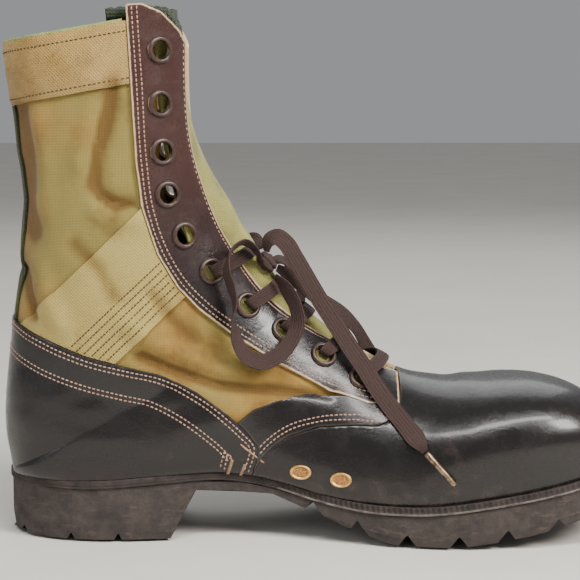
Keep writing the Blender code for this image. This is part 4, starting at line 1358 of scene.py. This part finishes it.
@dataclass
class Upper:
    """The canvas shell and the leather and webbing sewn over it."""

    stay_step: float = 0.075
    stay_reach: float = 0.62

    def build(self) -> list[Thing]:
        """Builds every layer.

        Returns:
            The layers.
        """
        off_counter, off_stay = outside(counter_field), outside(stay_rear_field)
        leather = (Finishes.BLACK, Finishes.DARK_EDGE)
        layers = [
            Panel(
                "upper_canvas", ("upper",), "canvas", (collar_field, canvas_throat_field), Finishes.CANVAS,
                Finishes.CANVAS, offset=0.0, thickness=CANVAS, outwards=False,
            ),
            Panel(
                "counter_leather", ("counter",), "black_leather", (*sewn(counter_field), into_welt),
                *leather, span=Span(rows=(2.0, 18.0)),
            ),
            Panel(
                "vamp_leather", ("vamp",), "black_leather", (*sewn(vamp_field, off_counter), into_welt),
                *leather, span=Span(rows=(8.0, LAST_ROW), row_step=0.1),
            ),
            Panel(
                "collar_webbing", ("collar_band",), "webbing", sewn(collar_field, band_field, off_stay),
                Finishes.BAND, Finishes.BAND_EDGE, thickness=WEBBING, span=Span(rows=(0.0, 3.5)),
            ),
            Panel(
                "backstay_webbing", ("backstay",), "green_webbing",
                sewn(backstay_field, outside(band_field), off_counter), Finishes.BACKSTAY,
                Finishes.BACKSTAY, thickness=WEBBING, span=Span(rows=(1.0, 9.0)),
            ),
        ]
        for side in Side:
            turn, word = SIDE_SPANS[side], side.word
            reach = tuple(self.stay_reach * end for end in turn)
            holes = [hole_field(x, z, side, EYELET_HOLE + HOLE_CLEARANCE) for x, z in EYELETS]
            layers += [
                Panel(
                    f"vamp_strap_{word}_leather", (f"vamp_strap_{word}",), "black_leather",
                    sewn(strap_field, off_counter, off_stay, half(side)), Finishes.BLACK, Finishes.CUT_EDGE,
                    thickness=STRAP, span=Span((8.0, 17.0), turn, 0.08, 0.01),
                ),
                Panel(
                    f"ankle_strap_{word}_webbing", (f"ankle_strap_{word}",), "webbing",
                    sewn(ankle_field, off_counter, off_stay, outside(backstay_field), half(side)),
                    Finishes.STRAP, Finishes.STRAP, thickness=WEBBING,
                    span=Span((2.0, 12.0), turn, 0.1, 0.0125),
                ),
                Panel(
                    f"eyestay_{word}_leather", (f"eyestay_{word}",), "brown_leather",
                    (*sewn(eyestay_field, half(side)), *holes), Finishes.STAY, Finishes.CUT_EDGE,
                    bevel=0.35, span=Span((0.0, 16.5), reach, self.stay_step, 0.0075),
                ),
            ]
        return [layer.build() for layer in layers]


@dataclass
class Tongue(Piece):
    """The canvas tongue, bulging between the eyestays, with its binding at the top coloured dark green as
    painted shade.
    """

    steps: int = 110
    columns: int = 49
    binding_from: float = 256.0
    pleats: float = 0.5
    leans_back: float = 7.0

    def build(self) -> Thing:
        """Builds and dresses the tongue.

        Returns:
            The object.
        """
        at = np.linspace(*TONGUE_ROWS, self.steps + 1)
        front = last_point(at, 0.0)
        share = throat_share(front[:, 0], front[:, 2])
        gap, reach, bulge = (hermite(table, share) for table in (THROAT_GAP, TONGUE_REACH, TONGUE_BULGE))
        wide = np.linspace(-1, 1, self.columns) * reach[:, None]
        rise = np.interp(np.abs(wide) / gap[:, None], *np.array(TONGUE_RISE).T) * bulge[:, None]
        rows = np.broadcast_to(at[:, None], wide.shape)
        s = section_share(rows, wide)
        spots = last_point(rows, s)
        pleat = self.pleats * np.sin(wide / 3.1 + share[:, None] / 21) * np.sin(share[:, None] / 9)
        pleat = pleat * (np.abs(wide) < 30)
        back = self.leans_back * np.clip((4.0 - at) / 3.5, 0, 1) ** 1.5
        lift = rise + np.minimum(pleat, 0) - CANVAS - SOCK_GAP - back[:, None]
        spots = spots + lift[..., None] * last_normal(rows, s)
        bm = bmesh.new()
        layer = bm.verts.layers.float.new("hollow")
        grid = [[bm.verts.new(p) for p in line] for line in to_metres(spots).tolist()]
        # The pleats' troughs, kept as the hollow height, are darkened by the cloth as painted shade.
        for line, lows in zip(grid, pleat.tolist()):
            for vert, low in zip(line, lows):
                vert[layer] = low * 2
        for upper, lower in zip(grid, grid[1:]):
            for a, b, c, d in zip(upper, lower, lower[1:], upper[1:]):
                if min(v.co.z for v in (a, b, c, d)) < TONGUE_TOP * MM:
                    bm.faces.new((a, b, c, d))
        loose = [v for v in bm.verts if not v.link_faces]
        bmesh.ops.delete(bm, geom=loose, context="VERTS")
        for vert in bm.verts:
            vert.co.z = min(vert.co.z, TONGUE_TOP * MM)
        bmesh.ops.recalc_face_normals(bm, faces=bm.faces)
        mesh = thickened(bm, self.name, TONGUE, False, 0.3)
        # The faces above binding_from take the dark green finish, painted shade on the tongue's top.
        bound = [int(face.center.z > self.binding_from * MM) for face in mesh.polygons]
        return self.place(mesh, (Finishes.TONGUE, Finishes.FUZZ), bound)


Row = tuple[Array, Array, Array]


@dataclass
class Seam:
    """A row of stitches that follows a line in side view."""

    line: Table
    side: Side
    over: float
    limits: tuple[Field, ...] = ()
    pitch: float = 2.3

    def spots(self) -> Row:
        """The stitches' middles, directions and outward normals, in the tables' millimetres.

        Returns:
            The three arrays.
        """
        fine = resampled(np.array(self.line, float), min(0.4, self.pitch / 3))
        at, s = on_side(fine[:, 0], fine[:, 1], self.side.value)
        base = last_point(at, s)
        met = np.hypot(base[:, 0] - fine[:, 0], base[:, 2] - fine[:, 1]) < 0.3
        at, s, base = at[met], s[met], base[met]
        gone = np.concatenate([[0], np.cumsum(np.linalg.norm(np.diff(base, axis=0), axis=1))])
        even = np.arange(0.3, gone[-1], self.pitch)
        return self.along(np.interp(even, gone, at), np.interp(even, gone, s))

    def along(self, at: Array, s: Array) -> Row:
        """The same for a row given by its places on the surface.

        Args:
            at: The rows.
            s: The places round them.

        Returns:
            The three arrays.
        """
        base, out = shown_point(at, s), last_normal(at, s)
        run = unit(np.gradient(base, axis=0)) if len(base) > 1 else np.tile((1.0, 0.0, 0.0), (len(base), 1))
        keep = np.ones(len(base), bool)
        for limit in self.limits:
            keep &= limit(*base.T) < -STITCH_MARGIN
        middle = base + (self.over + relief(base))[:, None] * out
        return middle[keep], run[keep], out[keep]


@dataclass
class Stitching(Piece):
    """The rows of stitches of one kind of thread, each stitch a small capsule."""

    thread: Finishes
    rows: Sequence[Row]
    length: float = 1.65
    radius: float = 0.28
    sides: int = 6

    def build(self) -> Thing:
        """Builds and dresses the stitches.

        Returns:
            The object.
        """
        verts: list[Array] = []
        faces: list[tuple[int, ...]] = []
        ring = [(math.cos(t), math.sin(t)) for t in np.arange(self.sides) * 2 * math.pi / self.sides]
        levels = ((-0.5, 0.35, -0.25), (-0.32, 1, 0.05), (0.32, 1, 0.05), (0.5, 0.35, -0.25))
        capsule = tube_faces(len(levels), self.sides)
        for middles, runs, outs in self.rows:
            for middle, run, out, aside in zip(middles, runs, outs, unit(np.cross(outs, runs))):
                faces += [tuple(len(verts) + k for k in face) for face in capsule]
                verts += [
                    middle + run * along * self.length + aside * a * thick * self.radius * 1.25
                    + out * (b * thick * self.radius + rise * self.radius)
                    for along, thick, rise in levels for a, b in ring
                ]
        return self.place(shell_of(self.name, verts, faces), (self.thread,))


@dataclass
class Sewing:
    """Every seam that shows on the upper."""

    on_leather: float = GAP + LEATHER
    on_webbing: float = GAP + WEBBING
    on_strap: float = GAP + STRAP
    stay_rows: tuple[float, ...] = (-2.8, -5.2)
    counter_rows: tuple[float, ...] = (2.2, 4.4, 14.5, 16.7)
    strap_rows: tuple[float, ...] = (-2.4, -4.6)
    ankle_rows: tuple[float, ...] = (-21.0, -17.6, -14.2, -10.8, -7.4, -4.0)
    tack_lines: tuple[Table, ...] = (((117.5, 43), (115, 35.5)), ((124, 40.5), (121.5, 35)))

    def front_row(self, side: Side, inside: float = 2.4) -> Row:
        """The row along the eyestay's front edge.

        Args:
            side: The side of the boot.
            inside: How far it lies inside the edge.

        Returns:
            The row.
        """
        at = np.linspace(0.9, 14.0, 110)
        front = last_point(at, 0.0)
        gap = hermite(THROAT_GAP, throat_share(front[:, 0], front[:, 2]))
        return Seam((), side, self.on_leather, (eyestay_field,)).along(
            at, section_share(at, side.value * (gap + inside))
        )

    def tacks(self, side: Side) -> list[Row]:
        """The bar tacks where the counter meets the vamp.

        Args:
            side: The side of the boot.

        Returns:
            Their rows.
        """
        rows = []
        for line in self.tack_lines:
            middle, run, out = Seam(line, side, self.on_leather, pitch=0.7).spots()
            rows.append((middle, unit(np.cross(out, run)), out))
        for k in range(9):
            line = ((122 + 1.1 * k, 50.5 - 0.9 * k), (124.4 + 1.1 * k, 48 - 0.8 * k))
            rows.append(Seam(line, side, self.on_leather + 0.2, pitch=1.2).spots())
        return rows

    def build(self) -> list[Thing]:
        """Builds the stitches, joined by thread.

        Returns:
            The three kinds of thread.
        """
        light, dark, tan = [], [], []
        off_counter, off_stay = outside(counter_field), outside(stay_rear_field)
        on_strap = (strap_field, off_counter, off_stay)
        on_ankle = (ankle_field, off_counter, off_stay, outside(backstay_field))
        for side in Side:
            on_band = (collar_field, band_field, off_stay, half(side))
            for rows, line, steps, over, limits, pitch in (
                (light, EYESTAY_REAR, self.stay_rows, self.on_leather, (eyestay_field,), 2.3),
                (light, COUNTER_TOP, self.counter_rows, self.on_leather, (counter_field, lip_field), 2.3),
                (light, VAMP_TOP[3:], self.strap_rows, self.on_strap, on_strap, 2.3),
                (dark, COLLAR_TOP, (5.0,), self.on_webbing, on_band, 2.3),
                (dark, COLLAR_BAND_LOW, (-3.0,), self.on_webbing, on_band, 2.3),
                (dark, ANKLE_STRAP_LOWER, self.ankle_rows, self.on_webbing, on_ankle, 1.9),
            ):
                rows += [Seam(shifted(line, by), side, over, limits, pitch).spots() for by in steps]
            light.append(self.front_row(side))
            tan += self.tacks(side)
        return [
            Stitching(name, (), "", thread, rows).build() for name, thread, rows in (
                ("thread_rows", Finishes.THREAD, light),
                ("webbing_thread_rows", Finishes.DARK_THREAD, dark),
                ("bar_tacks", Finishes.PALE_THREAD, tan),
            )
        ]


def turned(profile: Table, sides: int) -> tuple[list, list[tuple[int, ...]]]:
    """A surface turned about z from (radius, height) points.

    Args:
        profile: The points of the profile, in millimetres.
        sides: How many steps go round.

    Returns:
        The points and the faces.
    """
    turn = np.arange(sides) * 2 * math.pi / sides
    spots = [(r * math.cos(t), r * math.sin(t), h) for r, h in profile for t in turn]
    return spots, tube_faces(len(profile), sides, False)


@dataclass
class Fittings(Piece):
    """Round metal pieces of one kind, set square to the surface."""

    places: Sequence[tuple[float, float]]
    side: Side
    offset: float
    profile: Table
    bare: tuple[int, ...]
    finishes: tuple[Finishes, Finishes]
    sides: int = 32
    stretch: float = 1.0

    def build(self) -> Thing:
        """Builds and dresses the row.

        Returns:
            The object.
        """
        spots, faces = turned(self.profile, self.sides)
        verts: list[Array] = []
        every: list[tuple[int, ...]] = []
        for x, z in self.places:
            middle, out = eyelet_seat(x, z, self.side, self.offset)
            aside = unit(np.cross((0.0, 0.0, 1.0), out))
            up = np.cross(out, aside)
            every += [tuple(len(verts) + k for k in face) for face in faces]
            verts += [middle + p[0] * aside + self.stretch * p[1] * up + p[2] * out for p in spots]
        marks = [int(k in self.bare) for k in range(len(self.profile) - 1) for _ in range(self.sides)]
        return self.place(shell_of(self.name, verts, every), self.finishes, marks * len(self.places))


@dataclass
class Hardware:
    """The eyelets down the throat and the two drain vents. A profile is radius and height."""

    eyelet_seat: float = GAP + LEATHER + 1.6 * GAP
    eyelet: Table = (
        (6.6, -0.2), (6.75, 0.15), (6.6, 0.55), (6.1, 0.95), (5.4, 1.15), (4.9, 1.0), (4.55, 0.5),
        (4.4, -0.3), (4.35, -1.6), (4.6, -2.6),
    )
    vent_seat: float = GAP + LEATHER + 0.4
    vent: Table = (
        (5.5, -0.3), (5.55, 0.3), (5.3, 0.9), (4.8, 1.0), (4.3, 0.8), (4.0, 0.45), (3.7, 0.4),
        (2.4, 0.55), (1.2, 0.6), (0.02, 0.62),
    )
    vent_flatness: float = 0.68

    def build(self) -> list[Thing]:
        """Builds the eyelets of both sides and the vents.

        Returns:
            The objects.
        """
        enamel, brass = (Finishes.ENAMEL, Finishes.METAL), (Finishes.BRASS, Finishes.MESH)
        rows = []
        for side in Side:
            nodes = tuple(f"eyelet_{side.word}_{number:02d}" for number in range(1, len(EYELETS) + 1))
            rows.append(Fittings(
                f"eyelets_{side.word}", nodes, "enamel", EYELETS, side, self.eyelet_seat, self.eyelet,
                (6, 7, 8), enamel,
            ))
        rows += [
            Fittings(
                f"vent_{name}", (f"vent_medial_{name}",), "brass", ((x, z),), Side.MEDIAL, self.vent_seat,
                self.vent, (5, 6, 7, 8), brass, stretch=self.vent_flatness,
            ) for name, x, z in VENTS
        ]
        return [row.build() for row in rows]


@dataclass
class Welt(Piece):
    """The band between upper and sole, ribbed at the forefoot over a pale lip, whose paleness is a painted
    highlight.
    """

    step: float = RIB_PITCH / 9
    lip: float = 0.35
    highlight_faces: tuple[int, ...] = (7, 8)

    def build(self) -> Thing:
        """Builds and dresses the band.

        Returns:
            The object.
        """
        shares = np.linspace(0, 1, 401)
        tags = [(s, 1) for s in shares] + [(s, -1) for s in shares[-2::-1]]
        spots = np.array([feather_point(s, side, 0.0) for s, side in tags])
        around = np.concatenate([[0], np.cumsum(np.linalg.norm(np.diff(spots, axis=0), axis=1))])
        count = round(around[-1] / self.step)
        index = np.interp(np.arange(count) * around[-1] / count, around, np.arange(len(tags)))
        toe = len(shares) - 1
        rings = []
        for place, i in enumerate(index):
            share, side = (toe - abs(i - toe)) / toe, 1 if i <= toe else -1
            x = float(plan_x(share))
            edge, top = float(hermite(WELT_EDGE, x)), float(feather_height(x)) - 1.6 * GAP
            ribbed = float(np.clip((x - RIBS_FROM) / 3, 0, 1))
            wave = 0.5 - 0.5 * math.cos(2 * math.pi * place * self.step / RIB_PITCH)
            rib = RIB_DEPTH * ribbed * wave
            lip = self.lip * ribbed
            section = (
                (-WELT_INSIDE, -WELT_HEIGHT / 2), (edge - 1.2, 0.0), (edge - 0.35, -0.12),
                (edge - rib * 0.6, -0.5), (edge - rib, -1.1), (edge - rib, -2.3), (edge - rib * 0.6, -2.9),
                (edge + lip - 0.2, -3.2), (edge + lip, -3.5), (edge + lip, -4.1), (edge - 0.3, -WELT_HEIGHT),
            )
            rings.append([(*feather_point(share, side, grow), top + drop) for grow, drop in section])
        size, total = len(rings[0]), len(rings) * len(rings[0])
        faces, highlight_marks = [], []
        for a, b, c, d in tube_faces(len(rings) + 1, size, False):
            faces.append((a, d % total, c % total, b))
            # Painted highlight: the lip's faces under the forefoot ribs take the paler finish.
            highlight_marks.append(int(a % size in self.highlight_faces and rings[a // size][2][0] > RIBS_FROM))
        mesh = shell_of(self.name, np.array(rings).reshape(-1, 3), faces, 50.0)
        return self.place(mesh, (Finishes.WELT, Finishes.LIP), highlight_marks)


@dataclass
class Tape(Piece):
    """A run of the flat woven lace."""

    route: Table
    across: Array | None = None
    widths: tuple[float, ...] = ()
    thickness: float = TAPE
    pitch: float = 1.2
    sides: int = 60
    line: Array = field(default_factory=lambda: np.zeros((0, 3)))

    def build(self) -> Thing:
        """Builds and dresses the tape, and keeps its middle line.

        Returns:
            The object.
        """
        route = np.array(self.route, float)
        spots, across = route[:, :3], self.across
        if across is None:
            run = unit(np.gradient(spots, axis=0))
            aside = unit(np.stack([run[:, 2], 0 * run[:, 1], -run[:, 0]], axis=1))
            lean = route[:, 3:4]
            across = lean * aside + np.sqrt(1 - lean**2) * np.array((0.0, -1.0, 0.0))
        even = resampled(np.column_stack([spots, across, np.array(self.widths, float)]), self.pitch)
        self.line, across, widths = even[:, :3], even[:, 3:6], even[:, 6]
        run = unit(np.gradient(self.line, axis=0))
        across = unit(across - np.sum(across * run, axis=1, keepdims=True) * run)
        turn = np.linspace(0, 2 * math.pi, self.sides + 1)[:-1]
        wide = np.sign(np.cos(turn)) * np.abs(np.cos(turn)) ** 0.75
        thick = np.sign(np.sin(turn)) * np.abs(np.sin(turn)) ** 0.4
        ribs = 0.66 + 0.34 * np.cos(2 * math.pi * wide * 3.0)
        rings = [
            p + w / 2 * wide[:, None] * a + self.thickness / 2 * (thick * ribs)[:, None] * f
            for p, w, a, f in zip(self.line, widths, across, np.cross(run, across))
        ]
        mesh = shell_of(self.name, np.concatenate(rings), tube_faces(len(rings), self.sides), 60.0)
        return self.place(mesh, (Finishes.LACE,))


@dataclass
class Roll(Piece):
    """A round cord of cloth, such as a bound edge, along points of the tables."""

    route: Array
    radius: float
    finish: Finishes
    fuzz: float = 0.0
    sides: int = 12

    def build(self) -> Thing:
        """Builds and dresses the cord.

        Returns:
            The object.
        """
        spots = resampled(self.route, 0.8)
        run = unit(np.gradient(spots, axis=0))
        up = unit(np.array((0.0, 0.0, 1.0)) - run[:, 2:] * run)
        aside = np.cross(run, up)
        turn = np.arange(self.sides) * 2 * math.pi / self.sides
        along = np.arange(len(spots))[:, None]
        wave = np.sin(along * 1.7 + 3 * turn) * np.sin(along * 0.63 + 5 * turn)
        size = self.radius * (1 + self.fuzz * wave)
        over, up_by = (size * np.cos(turn))[..., None], (size * np.sin(turn))[..., None]
        rings = spots[:, None] + over * aside[:, None] + up_by * up[:, None]
        mesh = shell_of(self.name, rings.reshape(-1, 3), tube_faces(len(spots), self.sides))
        return self.place(mesh, (self.finish,))


@dataclass
class BoundEdges:
    """The rolled edge of the collar on both sides, and the tongue's bound edge inside it."""

    collar_radius: float = 1.15
    collar_out: float = 0.2
    tongue_radius: float = 3.3
    tongue_in: float = 6.2
    tongue_reach: float = 0.47
    tongue_fuzz: float = 0.16

    def build(self) -> list[Thing]:
        """Builds and dresses the three edges.

        Returns:
            The objects.
        """
        made = []
        line = resampled(np.array(COLLAR_TOP[1:], float), 1.5)
        for side in Side:
            at, s = on_side(line[:, 0], line[:, 1], side.value)
            keep = stay_rear_field(line[:, 0], 0 * at, line[:, 1]) > STITCH_MARGIN
            spots = (last_point(at, s) + self.collar_out * last_normal(at, s))[keep]
            name = f"collar_edge_{side.word}"
            made.append(Roll(name, (), "canvas", spots, self.collar_radius, Finishes.BAND_EDGE).build())
        s = np.linspace(-self.tongue_reach, self.tongue_reach, 60)
        at = np.interp(np.abs(s), [0, 0.2, self.tongue_reach], [1.0, 0.55, 0.4])
        spots = last_point(at, s) - self.tongue_in * last_normal(at, s)
        # The tongue's bound edge takes the dark green finish, painted shade.
        binding = Roll(
            "tongue_edge", (), "canvas", spots, self.tongue_radius, Finishes.FUZZ, self.tongue_fuzz, 16
        )
        return [*made, binding.build()]


@dataclass
class Lace:
    """The lace: its crossings, the knot, the bow's two loops and the two ends with their aglets."""

    # A tape worn soft lies a little wider than it was woven.
    shown_width: float = 9.0
    tucked_width: float = 6.0
    knot_lean: float = 48.0
    # A crossing's heights over the last: in the eyelet, beside it, at least, and clear of the tongue. Then
    # how far from the eyelet it comes up.
    tucked_height: float = 1.6
    rising_height: float = 4.8
    least_height: float = 5.7
    over_tongue: float = 2.2
    rise_run: float = 5.0

    def bars(self) -> list[Thing]:
        """Builds the crossings, each from one eyelet over the tongue to the other.

        Returns:
            The crossings.
        """
        made = []
        for number in LACED:
            x, z = EYELETS[number - 1]
            ends = [on_side(x, z, side.value) for side in Side]
            (at, s), (far_at, far_s) = ((float(a[0]), float(b[0])) for a, b in ends)
            out = self.rise_run / np.linalg.norm(last_point(at, s) - last_point(at, 0.0))
            share = np.array([0, out, *np.linspace(0.45, 1.55, 9), 2 - out, 2]) / 2
            rows, turns = at + share * (far_at - at), s + share * (far_s - s)
            front = last_point(rows, 0.0)
            along = throat_share(front[:, 0], front[:, 2])
            off = np.abs(last_point(rows, turns)[:, 1] - front[:, 1]) / hermite(THROAT_GAP, along)
            bulge = hermite(TONGUE_BULGE, along) * np.interp(off, *np.array(TONGUE_RISE).T)
            high = np.maximum(self.least_height, bulge - CANVAS - SOCK_GAP + self.over_tongue)
            high[[0, -1]] = self.rising_height
            base, normal = last_point(rows, turns), last_normal(rows, turns)
            spots = base + high[:, None] * normal
            low = [base[i] + self.tucked_height * normal[i] for i in (0, -1)]
            spots = np.array([low[0], *spots, low[1]])
            rows = np.array([rows[0], *rows, rows[-1]])
            across = last_point(rows + 0.3, 0.0) - last_point(rows - 0.3, 0.0)
            tucked = (self.tucked_width,) * 2
            widths = (*tucked, *[TAPE_WIDTH - 1] * (len(spots) - 4), *tucked)
            name = f"lace_bar_{number:02d}"
            made.append(Tape(f"{name}_tape", (name,), "lace", spots, across, widths).build())
        return made

    def knot(self) -> Thing:
        """Builds the knot, two turns of tape drawn tight over each other.

        Returns:
            The knot.
        """
        bm = bmesh.new()
        bmesh.ops.create_uvsphere(bm, u_segments=64, v_segments=40, radius=1)
        for vert in bm.verts:
            x, y, z = vert.co
            first = math.sin(9 * (x + 0.35 * z)) * (0.5 + 0.5 * math.tanh(6 * (z + 0.25 * y)))
            second = math.sin(9 * (z - 0.6 * y)) * (0.5 - 0.5 * math.tanh(6 * (z + 0.25 * y)))
            fold = 0.10 * math.tanh(8 * abs(z + 0.25 * y) - 0.8)
            vert.co *= 0.9 + 0.045 * (first + second) + fold
        bmesh.ops.scale(bm, vec=KNOT_HALF, verts=bm.verts)
        lean = Matrix.Rotation(math.radians(self.knot_lean), 3, "Y")
        bmesh.ops.rotate(bm, cent=(0, 0, 0), matrix=lean, verts=bm.verts)
        for vert in bm.verts:
            vert.co = Vector(to_metres(np.array(vert.co) + np.array(KNOT)).tolist())
        return Piece("knot_tape", ("lace_knot",), "lace").place(mesh_of(bm, "knot_tape"), (Finishes.LACE,))

    def aglet(self, side: Side, near: tuple[float, ...], far: tuple[float, ...]) -> Thing:
        """Builds a crimped metal tip.

        Args:
            side: The side of the boot it hangs on.
            near: Its end at the tape.
            far: Its tip.

        Returns:
            The tip.
        """
        name = f"aglet_{side.word}"
        start, end = Vector(near), Vector(far)
        long = (end - start).length
        profile = (
            (0.02, 0), (1.5, 0.1), (1.6, 0.8), (1.5, long * 0.4), (1.35, long - 1.2), (1.1, long - 0.3),
            (0.02, long),
        )
        spots, faces = turned(profile, 20)
        turn = (end - start).to_track_quat("Z", "Y").to_matrix()
        mesh = shell_of(name + "_tip", [start + turn @ Vector(p) for p in spots], faces)
        return Piece(name + "_tip", (name,), "aglet").place(mesh, (Finishes.AGLET,))

    def build(self) -> list[Thing]:
        """Builds the whole lace.

        Returns:
            Its pieces.
        """
        knot = self.knot()
        made = [*self.bars(), knot]
        places = zip(Side, (AGLET_MEDIAL, AGLET_LATERAL))
        tips = {side: self.aglet(side, *place) for side, place in places}
        routes = (
            ("lace_loop", Side.MEDIAL, LACE_LOOP_MEDIAL, "object"),
            ("lace_loop", Side.LATERAL, LACE_LOOP_LATERAL, "object"),
            ("lace_end", Side.MEDIAL, LACE_END_MEDIAL, "fitting"),
            ("lace_end", Side.LATERAL, LACE_END_LATERAL, "fitting"),
        )
        for kind, side, route, far_end in routes:
            name = f"{kind}_{side.word}"
            narrow = TAPE_BUNCHED if far_end == "object" else TAPE_AT_AGLET
            widths = (TAPE_BUNCHED, *[self.shown_width] * (len(route) - 2), narrow)
            tape = Tape(f"{name}_tape", (name,), "lace", route, widths=widths)
            piece = tape.build()
            path = to_metres(tape.line)
            made.append(piece)
        return [*made, *tips.values()]


@dataclass
class Studio:
    """The plain floor, the soft light and the camera at the photograph's angle."""

    camera_place: Vector = field(default_factory=lambda: Vector((-0.0293, -0.8691, 0.228)))
    camera_target: Vector = field(default_factory=lambda: Vector((-0.0141, 0.0007, 0.1234)))
    lens: float = 105.3
    sky: Colour = (0.86, 0.88, 0.9)
    sky_strength: float = 0.36

    def light(
        self, name: str, place: tuple[float, ...], size: tuple[float, float], power: float, colour: Colour
    ) -> None:
        """Adds one soft lamp that faces the boot.

        Args:
            name: The lamp's name.
            place: Where it stands, in metres.
            size: Its width and height, in metres.
            power: Its power in watts.
            colour: Its colour.
        """
        data = bpy.data.lights.new(name, "AREA")
        data.shape = "RECTANGLE"
        (data.size, data.size_y), data.energy, data.color = size, power, colour
        lamp = bpy.data.objects.new(name, data)
        lamp.location = place
        lamp.rotation_euler = (Vector((0, 0, 0.11)) - Vector(place)).to_track_quat("-Z", "Y").to_euler()
        bpy.context.scene.collection.objects.link(lamp)

    def build(self) -> None:
        """Builds the set."""
        scene = bpy.context.scene
        data = bpy.data.cameras.new("camera")
        data.lens, data.sensor_width = self.lens, 36.0
        camera = bpy.data.objects.new("camera", data)
        camera.location = self.camera_place
        camera.rotation_euler = (self.camera_target - self.camera_place).to_track_quat("-Z", "Y").to_euler()
        scene.collection.objects.link(camera)
        scene.camera = camera
        bm = bmesh.new()
        bmesh.ops.create_grid(bm, x_segments=1, y_segments=1, size=6.0)
        floor = bpy.data.objects.new("floor", mesh_of(bm, "floor"))
        floor.data.materials.append(paint(Finishes.FLOOR))
        scene.collection.objects.link(floor)
        self.light("key", (0.95, -0.8, 1.0), (0.5, 0.5), 25.0, (1.0, 0.97, 0.92))
        self.light("fill", (-1.3, -0.9, 0.75), (0.7, 0.9), 5.0, (0.94, 0.97, 1.0))
        self.light("strip", (0.12, -0.62, 1.05), (1.0, 0.16), 13.0, (1.0, 0.98, 0.95))
        self.light("rim", (0.2, 1.3, 1.3), (1.2, 1.2), 8.0, (1.0, 1.0, 1.0))
        world = bpy.data.worlds.new("studio")
        world.use_nodes = True
        sky = world.node_tree.nodes["Background"].inputs
        sky["Color"].default_value, sky["Strength"].default_value = (*self.sky, 1), self.sky_strength
        scene.world = world


def dress_solids(frame: dict) -> None:
    """Gives the solids that stay their finishes and softens the sole's edges.

    Args:
        frame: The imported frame.
    """
    for name, finish, radius in (("outsole", Finishes.RUBBER, 0.7), ("insole", Finishes.BOARD, 0.8)):
        node = frame["nodes"][name]
        node.data.materials.clear()
        node.data.materials.append(paint(finish))
        soft = node.modifiers.new("Edges", "BEVEL")
        soft.width, soft.segments = radius * MM, 3
        soft.limit_method, soft.angle_limit = "ANGLE", math.radians(28)


def main() -> None:
    """Builds the boot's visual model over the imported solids."""
    logging.basicConfig(level=logging.INFO, format="%(message)s")
    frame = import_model()
    Studio().build()
    made = Lace().build()
    made += Upper().build()
    made.append(Tongue("tongue_canvas", ("tongue",), "canvas").build())
    made += BoundEdges().build()
    made += Sewing().build()
    made += Hardware().build()
    made.append(Welt("welt_band", ("welt",), "rubber").build())
    dress_solids(frame)
    for piece in made:
        LOG.info("%s: %d faces", piece.name, len(piece.data.polygons))


if __name__ == "__main__":
    main()
